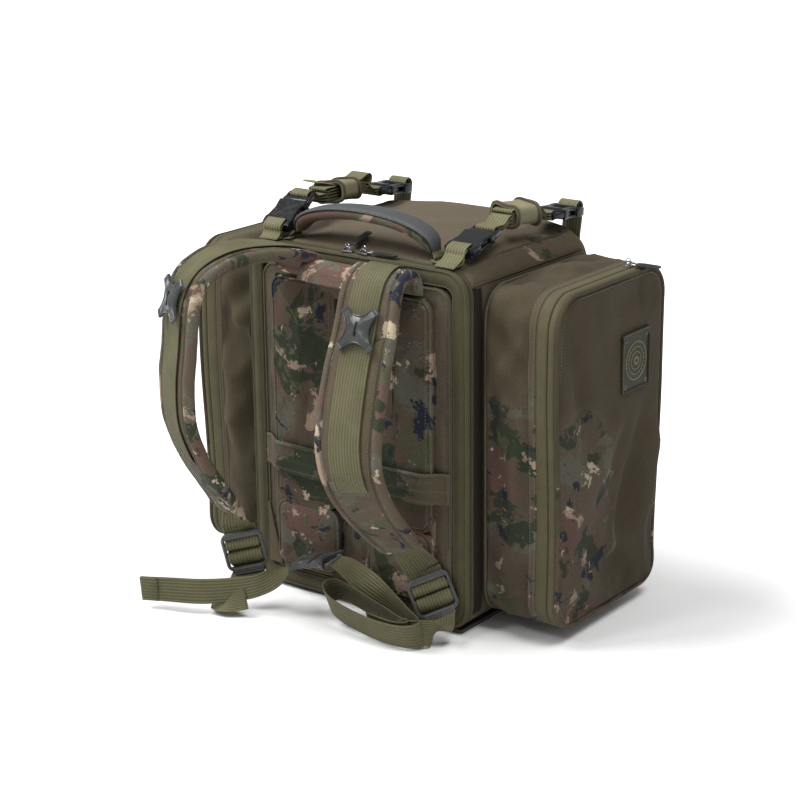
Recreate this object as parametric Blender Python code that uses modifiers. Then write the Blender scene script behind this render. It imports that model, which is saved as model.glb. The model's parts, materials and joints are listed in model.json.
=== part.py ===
"""Tackle backpack: a boxy main bag with two zipped side pockets, a zipped harness panel that
carries the shoulder straps and waist belt, two buckled top straps and a padded carry handle.

Metres, +Z up. The origin is the centre of the base of the main bag. The harness panel faces -Y,
the wearer's left pocket is at -X and the right pocket at +X.
"""

import math

import bmesh
import bpy
from mathutils import Matrix, Vector

# Main bag
BODY_W = 0.293
BODY_D = 0.234
BODY_H = 0.400
BODY_CORNER = 0.030
BODY_CROWN = 0.018
WALL = 0.004
BASE_T = 0.004
GAP = 0.0004
FRONT_Y = -BODY_D / 2
BACK_Y = BODY_D / 2
HALF_W = BODY_W / 2

# Zip frame round the harness panel, and the panel inside it
FRAME_T = 0.0115
FRAME_W = 0.020
PANEL_T = 0.010
PANEL_Y = FRONT_Y + 0.0005
BACK_PAD_T = 0.015
BACK_PAD_X = (0.021, 0.105)
BACK_PAD_Z = (0.112, 0.366)
LUMBAR_PAD_Z = (0.034, 0.108)
BAND_HALF_W = 0.125
BAND_T = 0.004
BAND_Z = (0.148, 0.180)
GUSSET_T = 0.0015

# Side pockets
POCKET_REACH = 0.093
POCKET_Z0 = 0.018
POCKET_Z1 = 0.380
POCKET_Y0 = FRONT_Y + 0.024
POCKET_Y1 = BACK_Y
POCKET_CORNER = 0.035
POCKET_WALL = 0.0035
GUSSET_DEPTH = 0.0615
ZIP_TAPE_W = 0.0200
RING_DEPTH = 0.006
SLIDER_HALF_W = 0.0045
SLIDER_Y = 0.069
SLIDER_HALF_LEN = 0.007
SLIDER_H = 0.006
PULL_REACH = 0.0375
PULL_HALF_W = 0.006
PULL_T = 0.0025
PULL_GAP = 0.0021
DOOR_CROWN = 0.0035
BADGE_Y = (0.026, 0.082)
BADGE_Z = (0.252, 0.318)
BADGE_T = 0.003

# Webbing and hardware
STRAP_WEB = 0.038
TOP_WEB = 0.025
WEB_T = 0.002
STRAP_PAD_T = 0.014
TOP_STRAP_X = 0.117
BUCKLE_W = 0.038
BUCKLE_T = 0.011
FEMALE_LEN = 0.040
MALE_LEN = 0.016
PRONG_LEN = 0.019
BUCKLE_TRAVEL = 0.020
LOCK_W = 0.047
LOCK_LEN = 0.044
LOCK_T = 0.005
CLASP_END = 0.0265
CLASP_T = 0.006
WAIST_CLASP_T = 0.007
ROLL_Z = 0.4360
ROLL_W = 0.027
ROLL_H = 0.012
KEEPER_LEN = 0.034

# Carry handle
HANDLE_Y = -0.094
HANDLE_SPAN = 0.180
HANDLE_RISE = 0.034
HANDLE_END_W = 0.012
HANDLE_LIFT = 0.011
HANDLE_W = 0.026
HANDLE_T = 0.009
MAIN_SLIDER_X = 0.0105
MAIN_SLIDER_HALF_W = 0.007
MAIN_PULL_LEN = 0.034
MAIN_PULL_T = 0.0023
PULL_SLOPE = 16.0

SIDES = {"right": 1, "left": -1}


def clear_scene():
    for obj in list(bpy.data.objects):
        bpy.data.objects.remove(obj, do_unlink=True)
    for name in ("tackle_backpack", "cutters"):
        bpy.context.scene.collection.children.link(bpy.data.collections.new(name))


def make_material(name, colour, roughness, metallic=0.0):
    mat = bpy.data.materials.new(name)
    mat.use_nodes = True
    shader = mat.node_tree.nodes["Principled BSDF"]
    shader.inputs["Base Color"].default_value = (*colour, 1.0)
    shader.inputs["Roughness"].default_value = roughness
    shader.inputs["Metallic"].default_value = metallic
    return mat


def palette():
    return {
        "cloth": make_material("cloth", (0.125, 0.100, 0.070), 0.9),
        "camo": make_material("camo", (0.150, 0.130, 0.090), 0.9),
        "binding": make_material("binding", (0.150, 0.140, 0.075), 0.85),
        "webbing": make_material("webbing", (0.210, 0.200, 0.095), 0.8),
        "plastic": make_material("plastic", (0.035, 0.038, 0.042), 0.45),
        "grey_plastic": make_material("grey_plastic", (0.120, 0.125, 0.130), 0.5),
        "grip": make_material("grip", (0.060, 0.065, 0.068), 0.7),
        "metal": make_material("metal", (0.60, 0.60, 0.62), 0.3, 1.0),
        "board": make_material("board", (0.030, 0.030, 0.030), 0.7),
        "rubber": make_material("rubber", (0.045, 0.045, 0.038), 0.6),
    }


def place(name, data, mat, collection="tackle_backpack"):
    obj = bpy.data.objects.new(name, data)
    data.materials.append(mat)
    bpy.data.collections[collection].objects.link(obj)
    return obj


def finish_mesh(name, bm, mat, collection="tackle_backpack"):
    """Makes an object of the bmesh, with its faces turned outwards."""
    bmesh.ops.recalc_face_normals(bm, faces=bm.faces)
    mesh = bpy.data.meshes.new(name)
    bm.to_mesh(mesh)
    bm.free()
    mesh.shade_smooth()
    mesh.set_sharp_from_angle(angle=math.radians(40))
    return place(name, mesh, mat, collection)


def soften(obj, width, segments=1):
    bevel = obj.modifiers.new("soft_edges", "BEVEL")
    bevel.width = width
    bevel.segments = segments
    bevel.limit_method = "ANGLE"
    bevel.angle_limit = math.radians(50)
    return obj


def box(name, low, high, mat, edge=0.0, collection="tackle_backpack"):
    size = Vector(high) - Vector(low)
    middle = (Vector(high) + Vector(low)) / 2
    bm = bmesh.new()
    bmesh.ops.create_cube(bm, size=1.0, matrix=Matrix.Translation(middle) @ Matrix.Diagonal((*size, 1.0)))
    obj = finish_mesh(name, bm, mat, collection)
    return soften(obj, edge) if edge else obj


def rounded_outline(a0, a1, b0, b1, radius, steps=4):
    """Points of a rounded rectangle, anticlockwise from the middle of its low-b side."""
    corners = (
        (a1 - radius, b0 + radius, -90),
        (a1 - radius, b1 - radius, 0),
        (a0 + radius, b1 - radius, 90),
        (a0 + radius, b0 + radius, 180),
    )
    points = [((a0 + a1) / 2, b0)]
    for index, (ca, cb, start) in enumerate(corners):
        for step in range(steps + 1):
            angle = math.radians(start + 90 * step / steps)
            points.append((ca + radius * math.cos(angle), cb + radius * math.sin(angle)))
        if index == 1:
            for part in (0.25, 0.5, 0.75):
                points.append((a1 - radius + (a0 - a1 + 2 * radius) * part, b1))
    return points


def loft(name, rings, mat, cap_start=False, cap_end=True, wall=None):
    """Skins a row of matching rings. With a wall it is a shell of that thickness, grown inwards."""
    bm = bmesh.new()
    rows = [[bm.verts.new(point) for point in ring] for ring in rings]
    count = len(rows[0])
    for low, high in zip(rows, rows[1:]):
        for i in range(count):
            j = (i + 1) % count
            bm.faces.new((low[i], low[j], high[j], high[i]))
    if cap_start:
        bm.faces.new(rows[0])
    if cap_end:
        bm.faces.new(rows[-1])
    obj = finish_mesh(name, bm, mat)
    if wall:
        middle = sum((Vector(point) for ring in rings for point in ring), Vector()) / (len(rings) * count)
        face = obj.data.polygons[0]
        outward = face.normal.dot(face.center - middle) > 0
        shell = obj.modifiers.new("wall", "SOLIDIFY")
        shell.thickness = wall
        shell.offset = -1.0 if outward else 1.0
    return obj


def flat_plate(name, outline, holes, thickness, mat, matrix, collection="tackle_backpack"):
    """A flat outline with holes in the local XY plane, extruded to the thickness and set in place."""
    curve = bpy.data.curves.new(name, "CURVE")
    curve.dimensions = "2D"
    curve.fill_mode = "BOTH"
    curve.extrude = thickness / 2
    for points in (outline, *holes):
        spline = curve.splines.new("POLY")
        spline.points.add(len(points) - 1)
        for point, (x, y) in zip(spline.points, points):
            point.co = (x, y, 0.0, 1.0)
        spline.use_cyclic_u = True
    obj = place(name, curve, mat, collection)
    obj.matrix_world = matrix
    return obj


def rectangle(x0, x1, y0, y1):
    return [(x0, y0), (x1, y0), (x1, y1), (x0, y1)]


def axes(origin, x_axis, y_axis):
    """A placing matrix from an origin and two directions at right angles to each other."""
    x_axis = Vector(x_axis).normalized()
    y_axis = Vector(y_axis)
    y_axis = (y_axis - x_axis * y_axis.dot(x_axis)).normalized()
    turned = Matrix((x_axis, y_axis, x_axis.cross(y_axis))).transposed().to_4x4()
    return Matrix.Translation(Vector(origin)) @ turned


def catmull_rom(a, b, c, d, t):
    return 0.5 * (2 * b + (c - a) * t + (2 * a - 5 * b + 4 * c - d) * t**2 + (3 * b - a - 3 * c + d) * t**3)


def smooth(controls, per_span):
    """Catmull-Rom values through a list of equal-length tuples."""
    ends = [controls[0], *controls, controls[-1]]
    values = []
    for i in range(1, len(ends) - 2):
        p0, p1, p2, p3 = ends[i - 1 : i + 3]
        for step in range(per_span):
            t = step / per_span
            values.append(tuple(catmull_rom(*four, t) for four in zip(p0, p1, p2, p3)))
    values.append(tuple(controls[-1]))
    return values


def ribbon(name, controls, thickness, mat, lift=0.0, per_span=2, across=1, keep=(0, None), edge=0.0):
    """A flat strip. Each control is (point, side direction, width); lift moves it off along its normal."""
    flat = [(*point, *side, width) for point, side, width in controls]
    stations = smooth(flat, per_span)
    points = [Vector(s[:3]) for s in stations]
    bm = bmesh.new()
    rows = []
    for i, station in enumerate(stations):
        along = (points[min(i + 1, len(points) - 1)] - points[max(i - 1, 0)]).normalized()
        side = Vector(station[3:6])
        side = (side - along * side.dot(along)).normalized()
        normal = along.cross(side)
        middle = points[i] + normal * lift
        width = station[6]
        rows.append([bm.verts.new(middle + side * width * (k / across - 0.5)) for k in range(across + 1)])
    kept = rows[keep[0] : keep[1]]
    for vert in set(v for row in rows for v in row) - set(v for row in kept for v in row):
        bm.verts.remove(vert)
    for low, high in zip(kept, kept[1:]):
        for k in range(across):
            bm.faces.new((low[k], low[k + 1], high[k + 1], high[k]))
    obj = finish_mesh(name, bm, mat)
    shell = obj.modifiers.new("thickness", "SOLIDIFY")
    shell.thickness = thickness
    shell.offset = 0.0
    return soften(obj, edge) if edge else obj


def cut(obj, cutter):
    cutter.hide_render = True
    cutter.display_type = "WIRE"
    boolean = obj.modifiers.new(cutter.name, "BOOLEAN")
    boolean.operation = "DIFFERENCE"
    boolean.object = cutter


def pivot(name, location, *objects):
    """An empty on a joint's axis, with the moving objects as its children."""
    empty = bpy.data.objects.new(name, None)
    empty.empty_display_size = 0.02
    bpy.data.collections["tackle_backpack"].objects.link(empty)
    empty.location = location
    bpy.context.view_layer.update()
    for obj in objects:
        if obj.parent is None:
            world = obj.matrix_world.copy()
            obj.parent = empty
            obj.matrix_parent_inverse = empty.matrix_world.inverted()
            obj.matrix_world = world
    return empty


def top_crown(x, y):
    """How far the padded top stands above its edges."""
    rise = min(max((y - FRONT_Y - FRAME_T) / 0.09, 0.0), 1.0)
    fall = 1.0 - 0.25 * min(max(y / BACK_Y, 0.0), 1.0)
    return BODY_CROWN * max(0.0, 1 - (x / HALF_W) ** 2) * math.sin(rise * math.pi / 2) * fall


def body_ring(y, inset=0.0):
    outline = rounded_outline(
        -HALF_W + inset, HALF_W - inset, BASE_T + GAP + inset, BODY_H - inset, BODY_CORNER - inset * 0.5
    )
    return [(x, y, z + (top_crown(x, y) if z > BODY_H / 2 else 0.0)) for x, z in outline]


def main_bag(mats):
    front = FRONT_Y + FRAME_T + GAP
    rows = [(front, 0.0), (-0.080, 0.0), (-0.050, 0.0), (-0.015, 0.0), (0.040, 0.0), (0.080, 0.0)]
    rows += [(BACK_Y - 0.012, 0.0), (BACK_Y - 0.004, 0.0035), (BACK_Y, 0.012)]
    loft("main_shell", [body_ring(y, inset) for y, inset in rows], mats["cloth"], wall=WALL)
    base_low = (-0.134, FRONT_Y + 0.006, 0.0)
    base_high = (0.134, BACK_Y - 0.010, BASE_T)
    box("base_panel", base_low, base_high, mats["rubber"])
    floor = BASE_T + GAP + WALL
    box("base_board", (-0.118, -0.100, floor + 0.0006), (0.118, 0.098, floor + 0.0036), mats["board"])
    box("inner_divider", (-0.1415, -0.098, 0.200), (0.1415, 0.106, 0.206), mats["cloth"])


def upright_plate(name, outer, inner, y0, y1, mat):
    """A rounded frame or plate in the XZ plane; outer and inner are (a0, a1, b0, b1, radius)."""
    middle = (y0 + y1) / 2
    matrix = axes((0.0, middle, 0.0), (1, 0, 0), (0, 0, 1))
    holes = [rounded_outline(*inner)] if inner else []
    return flat_plate(name, rounded_outline(*outer), holes, y1 - y0, mat, matrix)


def harness_panel(mats):
    """The zip frame on the bag, and the padded panel that unzips from it and folds down."""
    z0 = BASE_T + GAP
    hole_w = HALF_W - FRAME_W
    hole = (-hole_w, hole_w, z0 + FRAME_W - 0.001, BODY_H - FRAME_W, 0.020)
    outer = (-HALF_W, HALF_W, z0, BODY_H, BODY_CORNER)
    upright_plate("main_zip_frame", outer, hole, FRONT_Y, FRONT_Y + FRAME_T, mats["binding"])
    edge = 0.0006
    panel_outline = (hole[0] + edge, hole[1] - edge, hole[2] + edge, hole[3] - edge, 0.0195)
    panel = upright_plate("harness_panel", panel_outline, None, PANEL_Y, PANEL_Y + PANEL_T, mats["cloth"])
    pad_back = PANEL_Y - GAP
    pad_front = pad_back - BACK_PAD_T
    moving = [panel]
    for side, sign in SIDES.items():
        low_x, high_x = sorted(sign * x for x in BACK_PAD_X)
        for name, (z_low, z_high) in (("back_pad", BACK_PAD_Z), ("lumbar_pad", LUMBAR_PAD_Z)):
            pad = box(
                f"{side}_{name}", (low_x, pad_front, z_low), (high_x, pad_back, z_high), mats["camo"], 0.006
            )
            moving.append(pad)
    band_y = pad_front - GAP
    band_low = (-BAND_HALF_W, band_y - BAND_T, BAND_Z[0])
    band_high = (BAND_HALF_W, band_y, BAND_Z[1])
    moving.append(box("trolley_band", band_low, band_high, mats["cloth"], 0.001))
    yoke = [
        ((0.001, -0.1235, 0.3695), (1, 0, 0), 0.040),
        ((0.001, -0.1260, 0.380), (1, 0, 0), 0.040),
        ((0.001, -0.1370, 0.388), (1, 0, 0), 0.040),
        ((0.001, -0.1500, 0.386), (1, 0, 0), 0.040),
        ((0.001, -0.1600, 0.376), (1, 0, 0), 0.040),
    ]
    moving.append(ribbon("strap_yoke", yoke, 0.008, mats["camo"]))
    return moving, (0.0, PANEL_Y, hole[2] + edge)


def strap_controls(side):
    """Mid-surface of a shoulder strap from the panel's top edge down to the end of its pad."""
    if side == "right":
        route = (
            (0.061, -0.1270, 0.372, 0.074), (0.061, -0.1300, 0.386, 0.074),
            (0.061, -0.1420, 0.3945, 0.074), (0.061, -0.1580, 0.387, 0.074),
            (0.062, -0.1690, 0.369, 0.076), (0.065, -0.1810, 0.341, 0.078),
            (0.067, -0.1980, 0.303, 0.080), (0.069, -0.2120, 0.262, 0.080),
            (0.071, -0.2200, 0.228, 0.078), (0.075, -0.2190, 0.196, 0.074),
            (0.081, -0.2060, 0.163, 0.068), (0.088, -0.1800, 0.128, 0.058),
            (0.094, -0.1590, 0.104, 0.048),
        )
        turns = (0, 0, 0, 0, 0, 0, 2, 4, 6, 8, 12, 18, 22)
    else:
        route = (
            (-0.061, -0.1270, 0.372, 0.074), (-0.061, -0.1300, 0.386, 0.074),
            (-0.066, -0.1430, 0.3970, 0.074), (-0.080, -0.1660, 0.4030, 0.074),
            (-0.095, -0.1950, 0.4040, 0.074), (-0.104, -0.2210, 0.3990, 0.074),
            (-0.111, -0.2430, 0.3860, 0.074), (-0.115, -0.2560, 0.3620, 0.076),
            (-0.117, -0.2620, 0.3160, 0.078), (-0.118, -0.2670, 0.2780, 0.078),
            (-0.118, -0.2660, 0.2390, 0.078), (-0.117, -0.2540, 0.2040, 0.074),
            (-0.115, -0.2370, 0.1730, 0.068), (-0.112, -0.2120, 0.1360, 0.056),
            (-0.111, -0.1970, 0.1130, 0.048),
        )
        turns = (0, 0, -6, -14, -20, -24, -26, -26, -26, -26, -26, -24, -22, -18, -14)
    controls = []
    for (x, y, z, width), turn in zip(route, turns):
        angle = math.radians(turn)
        controls.append(((x, y, z), (math.cos(angle), math.sin(angle), 0.0), width))
    return controls


def star_outline(reach, waist):
    points = []
    for k in range(8):
        radius = reach if k % 2 == 0 else waist
        angle = math.radians(45 * k + 45)
        points.append((radius * math.cos(angle), radius * math.sin(angle)))
    return points


def lock_place(side):
    """Centre, width direction and length direction of a ladder lock."""
    if side == "right":
        return (0.1150, -0.1365, 0.0500), (0.62, 0.60, 0.45), (0.45, -0.01, -0.89)
    return (-0.1070, -0.1830, 0.0650), (0.80, 0.52, 0.25), (0.20, 0.10, -0.97)


def shoulder_strap(side, mats):
    """Pad, webbing and clasp of one strap, and the lower webbing and ladder lock it ends in."""
    sign = SIDES[side]
    controls = strap_controls(side)
    pad = ribbon(f"{side}_strap_pad", controls, STRAP_PAD_T, mats["camo"], across=4, edge=0.003)
    web_lift = STRAP_PAD_T / 2 + 0.001 + WEB_T / 2
    web_controls = [(point, direction, STRAP_WEB) for point, direction, _ in controls]
    last = 19 if side == "right" else 23
    web = ribbon(
        f"{side}_strap_web", web_controls, WEB_T, mats["webbing"], lift=web_lift, across=2, keep=(0, last)
    )
    clasp_at = 5 if side == "right" else 7
    here, direction, _ = controls[clasp_at]
    after = Vector(controls[clasp_at + 1][0])
    before = Vector(controls[clasp_at - 1][0])
    along = (after - before).normalized()
    normal = along.cross(Vector(direction)).normalized()
    centre = Vector(here) + normal * (web_lift + 0.0065)
    star = star_outline(0.029, 0.013)
    place_of_star = axes(centre, direction, -along)
    clasp = flat_plate(f"{side}_strap_clasp", star, [], CLASP_T, mats["grey_plastic"], place_of_star)
    lock_centre, across, down = lock_place(side)
    matrix = axes(lock_centre, down, across)
    half_l = LOCK_LEN / 2
    half_w = LOCK_W / 2
    slot = STRAP_WEB / 2 + 0.001
    slots = [rectangle(-0.015, -0.0095, -slot, slot), rectangle(-0.0045, 0.001, -slot, slot)]
    slots.append(rectangle(0.0115, 0.017, -slot, slot))
    corner = 0.007
    outline = rounded_outline(-half_l, half_l, -half_w, half_w, corner, steps=2)
    lock = flat_plate(f"{side}_ladder_lock", outline, slots, LOCK_T, mats["grey_plastic"], matrix)
    length_dir = matrix.to_3x3() @ Vector((1, 0, 0))
    width_dir = matrix.to_3x3() @ Vector((0, 1, 0))
    lock_top = Vector(lock_centre) - length_dir * (half_l + 0.005)
    end, end_dir, _ = controls[-1]
    end_along = (Vector(end) - Vector(controls[-2][0])).normalized()
    start = Vector(end) + end_along * 0.008
    lower = [
        (tuple(start), end_dir, STRAP_WEB),
        (tuple(start.lerp(lock_top, 0.5)), tuple(Vector(end_dir).lerp(width_dir, 0.5)), STRAP_WEB),
        (tuple(lock_top), tuple(width_dir), STRAP_WEB),
    ]
    lower_web = ribbon(f"{side}_lower_web", lower, WEB_T, mats["webbing"], per_span=3)
    seam_x = sign * 0.1262
    triangle = [(sign * 0.1065, 0.028), (seam_x, 0.028), (seam_x, 0.100)]
    tab_y = FRONT_Y - GAP - GUSSET_T / 2
    tab_place = axes((0, tab_y, 0), (1, 0, 0), (0, 0, 1))
    tab = flat_plate(f"{side}_gusset_tab", triangle, [], GUSSET_T, mats["cloth"], tab_place)
    pivot(f"{side}_lock_pivot", lock_top, lock)
    return [pad, web, clasp, lower_web, tab]


def star_half(reach, waist, half):
    """Half of the four-cornered clasp outline, on the side of the given sign."""
    gap = 0.0006 * half
    tip_x, tip_y = reach * 0.72 * half, reach * 0.62
    return [(gap, -waist), (gap, waist), (tip_x, tip_y), (waist * 1.15 * half, 0.0), (tip_x, -tip_y)]


def waist_belt(mats):
    """Both belt webbings and the two halves of the clasp, which rest in front of the panel."""
    centre = Vector((-0.028, -0.156, 0.062))
    tilt = Vector((math.cos(math.radians(15)), 0.0, math.sin(math.radians(15))))
    matrix = axes(centre, tilt, (0.0, 1.0, 0.12))
    halves = {}
    for side, sign in SIDES.items():
        half = star_half(0.034, 0.014, sign)
        name = f"waist_clasp_{side}"
        halves[side] = flat_plate(name, half, [], WAIST_CLASP_T, mats["grey_plastic"], matrix)
    up = (0.0, 0.0, 1.0)
    right_end = centre + tilt * CLASP_END
    right = [
        (tuple(right_end), (0.0, 1.0, 0.12), 0.020),
        ((0.012, -0.1545, 0.066), (0.0, 0.8, 0.5), 0.028),
        ((0.038, -0.1500, 0.045), (0.0, 0.25, 1.0), STRAP_WEB),
        ((0.072, -0.1520, 0.030), up, STRAP_WEB),
        ((0.102, -0.1600, 0.0235), up, STRAP_WEB),
        ((0.1215, -0.1680, 0.0235), up, STRAP_WEB),
        ((0.1080, -0.1760, 0.0235), up, STRAP_WEB),
        ((0.070, -0.1780, 0.0235), up, STRAP_WEB),
        ((0.030, -0.1740, 0.0235), up, STRAP_WEB),
        ((0.006, -0.1680, 0.0235), up, STRAP_WEB),
    ]
    left_end = centre - tilt * CLASP_END
    left = [
        (tuple(left_end), (0.0, 1.0, 0.12), 0.020),
        ((-0.062, -0.171, 0.044), (0.0, 0.7, 0.6), 0.028),
        ((-0.075, -0.193, 0.031), (0.1, 0.3, 1.0), STRAP_WEB),
        ((-0.098, -0.214, 0.026), up, STRAP_WEB),
        ((-0.128, -0.231, 0.0260), up, STRAP_WEB),
        ((-0.160, -0.245, 0.0260), up, STRAP_WEB),
        ((-0.196, -0.254, 0.0260), up, STRAP_WEB),
    ]
    webs = [
        ribbon("waist_web_right", right, WEB_T, mats["webbing"], per_span=3),
        ribbon("waist_web_left", left, WEB_T, mats["webbing"], per_span=3),
    ]
    return halves, webs


def pocket_ring(sign, x, inset=0.0):
    low_y, high_y = POCKET_Y0 + inset, POCKET_Y1 - inset
    low_z, high_z = POCKET_Z0 + inset, POCKET_Z1 - inset
    outline = rounded_outline(low_y, high_y, low_z, high_z, POCKET_CORNER - inset * 0.5)
    return [(sign * x, y, z) for y, z in outline]


def side_pocket(side, mats):
    """One pocket: gusset shell on the bag, zip tape, and the outer door that folds down."""
    sign = SIDES[side]
    x0 = HALF_W + GAP
    x1 = x0 + GUSSET_DEPTH
    rows = [(x0, 0.010), (x0 + 0.004, 0.003), (x0 + 0.012, 0.0), (x1, 0.0)]
    rings = [pocket_ring(sign, x, inset) for x, inset in rows]
    loft(f"{side}_pocket_shell", rings, mats["camo"], cap_start=True, cap_end=False, wall=POCKET_WALL)
    tape0 = x1 + GAP
    tape1 = tape0 + ZIP_TAPE_W
    outer = rounded_outline(POCKET_Y0, POCKET_Y1, POCKET_Z0, POCKET_Z1, POCKET_CORNER)
    inner = rounded_outline(
        POCKET_Y0 + RING_DEPTH, POCKET_Y1 - RING_DEPTH, POCKET_Z0 + RING_DEPTH, POCKET_Z1 - RING_DEPTH,
        POCKET_CORNER - RING_DEPTH,
    )
    matrix = axes((sign * (tape0 + tape1) / 2, 0.0, 0.0), (0, 1, 0), (0, 0, 1))
    flat_plate(f"{side}_pocket_zip", outer, [inner], ZIP_TAPE_W, mats["binding"], matrix)
    door0 = tape1 + GAP
    edge_x = HALF_W + POCKET_REACH
    rows = [(door0, 0.0004), (edge_x - 0.005, 0.0004), (edge_x - 0.001, 0.004), (edge_x, 0.010)]
    rows += [(edge_x + DOOR_CROWN * 0.7, 0.030), (edge_x + DOOR_CROWN, 0.060)]
    rings = [pocket_ring(sign, x, inset) for x, inset in rows]
    door = loft(f"{side}_pocket_door", rings, mats["cloth"], wall=WALL)
    moving = [door]
    if side == "right":
        badge_x = edge_x + DOOR_CROWN + GAP
        badge_low = (badge_x, BADGE_Y[0], BADGE_Z[0])
        badge_high = (badge_x + BADGE_T, BADGE_Y[1], BADGE_Z[1])
        badge = box("side_badge", badge_low, badge_high, mats["rubber"], 0.001)
        moving.append(badge)
    pivot(f"{side}_pocket_hinge", (sign * door0, 0.0, POCKET_Z0 + 0.0004), *moving)
    zip_x = tape1 - SLIDER_HALF_W
    top = POCKET_Z1 + GAP
    low_x, high_x = sorted((sign * (zip_x - SLIDER_HALF_W), sign * (zip_x + SLIDER_HALF_W)))
    slider = box(
        f"{side}_pocket_slider", (low_x, SLIDER_Y - SLIDER_HALF_LEN, top),
        (high_x, SLIDER_Y + SLIDER_HALF_LEN, top + SLIDER_H), mats["metal"], 0.001,
    )
    root_x = zip_x + SLIDER_HALF_W + PULL_GAP
    low_x, high_x = sorted((sign * root_x, sign * (zip_x + PULL_REACH)))
    tab = box(
        f"{side}_pocket_pull", (low_x, SLIDER_Y - PULL_HALF_W, top + PULL_T),
        (high_x, SLIDER_Y + PULL_HALF_W, top + 2 * PULL_T), mats["grey_plastic"],
    )
    pivot(f"{side}_pocket_slider_start", (sign * zip_x, SLIDER_Y, top), slider)
    pivot(f"{side}_pocket_pull_pivot", (sign * (root_x - 0.0003), SLIDER_Y, top + 1.5 * PULL_T), tab)


def buckle_pair(prefix, bar_end, along, mats):
    """Female half from the webbing bar, then the male half, along a direction in the YZ plane."""
    x, y, z = bar_end
    matrix = axes((x, y, z), along, (1, 0, 0))
    shell = box(
        f"{prefix}_socket", (0.0, -BUCKLE_W / 2, -BUCKLE_T / 2), (FEMALE_LEN, BUCKLE_W / 2, BUCKLE_T / 2),
        mats["plastic"],
    )
    slot = box(
        f"{prefix}_bar_slot", (0.004, -TOP_WEB / 2 - 0.001, -0.02), (0.0085, TOP_WEB / 2 + 0.001, 0.02),
        mats["plastic"], collection="cutters",
    )
    well_low = (FEMALE_LEN - PRONG_LEN - 0.002, -0.0155, -0.0034)
    well_high = (FEMALE_LEN + 0.01, 0.0155, 0.0034)
    well = box(f"{prefix}_well", well_low, well_high, mats["plastic"], collection="cutters")
    for obj in (shell, slot, well):
        obj.matrix_world = matrix
    cut(shell, slot)
    cut(shell, well)
    start = FEMALE_LEN + GAP
    tip = FEMALE_LEN - PRONG_LEN
    end = start + MALE_LEN
    wide = BUCKLE_W / 2 - 0.001
    outline = [
        (end, -wide * 0.92), (end, wide * 0.92), (start, wide), (start, 0.0145), (tip + 0.004, 0.0145),
        (tip, 0.0115), (tip, 0.0095), (start, 0.0095), (start, 0.003), (tip + 0.002, 0.003),
        (tip + 0.002, -0.003), (start, -0.003), (start, -0.0095), (tip, -0.0095), (tip, -0.0115),
        (tip + 0.004, -0.0145), (start, -0.0145), (start, -wide),
    ]
    holes = [rectangle(end - 0.009, end - 0.0045, -TOP_WEB / 2 - 0.0005, TOP_WEB / 2 + 0.0005)]
    plug = flat_plate(f"{prefix}_plug", outline, holes, 0.0055, mats["plastic"], matrix)
    pivot(f"{prefix}_plug_start", matrix @ Vector((start, 0.0, 0.0)), plug)
    return matrix @ Vector((end, 0.0, 0.0))


def top_strap(side, mats):
    """One strap over the bag: anchor webbing, two buckles, the rolled surplus and its keeper."""
    x = SIDES[side] * TOP_STRAP_X
    across = (1, 0, 0)
    near_y, near_z, near_pitch = (-0.090, 0.4130, 14.5) if side == "right" else (-0.103, 0.4120, 31.0)
    far_y, far_z, far_pitch = 0.1220, 0.4200, 176.0
    near_dir = Vector((0.0, math.cos(math.radians(near_pitch)), math.sin(math.radians(near_pitch))))
    far_dir = Vector((0.0, math.cos(math.radians(far_pitch)), math.sin(math.radians(far_pitch))))
    near_end = buckle_pair(f"{side}_near", (x, near_y, near_z), near_dir, mats)
    far_end = buckle_pair(f"{side}_far", (x, far_y, far_z), far_dir, mats)
    front = [
        ((x, -0.1160, BODY_H + 0.0018), across, TOP_WEB),
        ((x, (near_y - 0.0018 - 0.1160) / 2, (near_z + BODY_H + 0.002) / 2 - 0.0005), across, TOP_WEB),
        ((x, near_y - 0.0018, near_z - 0.0006), across, TOP_WEB),
    ]
    ribbon(f"{side}_front_web", front, WEB_T, mats["webbing"])
    rear = [
        ((x, far_y + 0.0018, far_z - 0.001), across, TOP_WEB),
        ((x, 0.1290, 0.411), across, TOP_WEB),
        ((x, 0.1300, 0.390), across, TOP_WEB),
        ((x, 0.1240, 0.358), across, TOP_WEB),
        ((x, 0.1190, 0.336), across, TOP_WEB),
    ]
    ribbon(f"{side}_rear_web", rear, WEB_T, mats["webbing"])
    roll_y0 = near_end.y + BUCKLE_TRAVEL + 0.002
    roll_y1 = far_end.y - BUCKLE_TRAVEL - 0.002
    roll_low = (x - ROLL_W / 2, roll_y0, ROLL_Z - ROLL_H / 2)
    roll_high = (x + ROLL_W / 2, roll_y1, ROLL_Z + ROLL_H / 2)
    box(f"{side}_strap_roll", roll_low, roll_high, mats["webbing"], 0.003)
    keeper_y = (roll_y0 + roll_y1) / 2
    outer = rounded_outline(-0.0175, 0.0175, -0.0095, 0.0095, 0.005, steps=2)
    inner = rounded_outline(-0.0140, 0.0140, -0.0065, 0.0065, 0.002, steps=2)
    matrix = axes((x, keeper_y, ROLL_Z), (1, 0, 0), (0, 0, 1))
    flat_plate(f"{side}_keeper_sleeve", outer, [inner], KEEPER_LEN, mats["cloth"], matrix)


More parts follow.
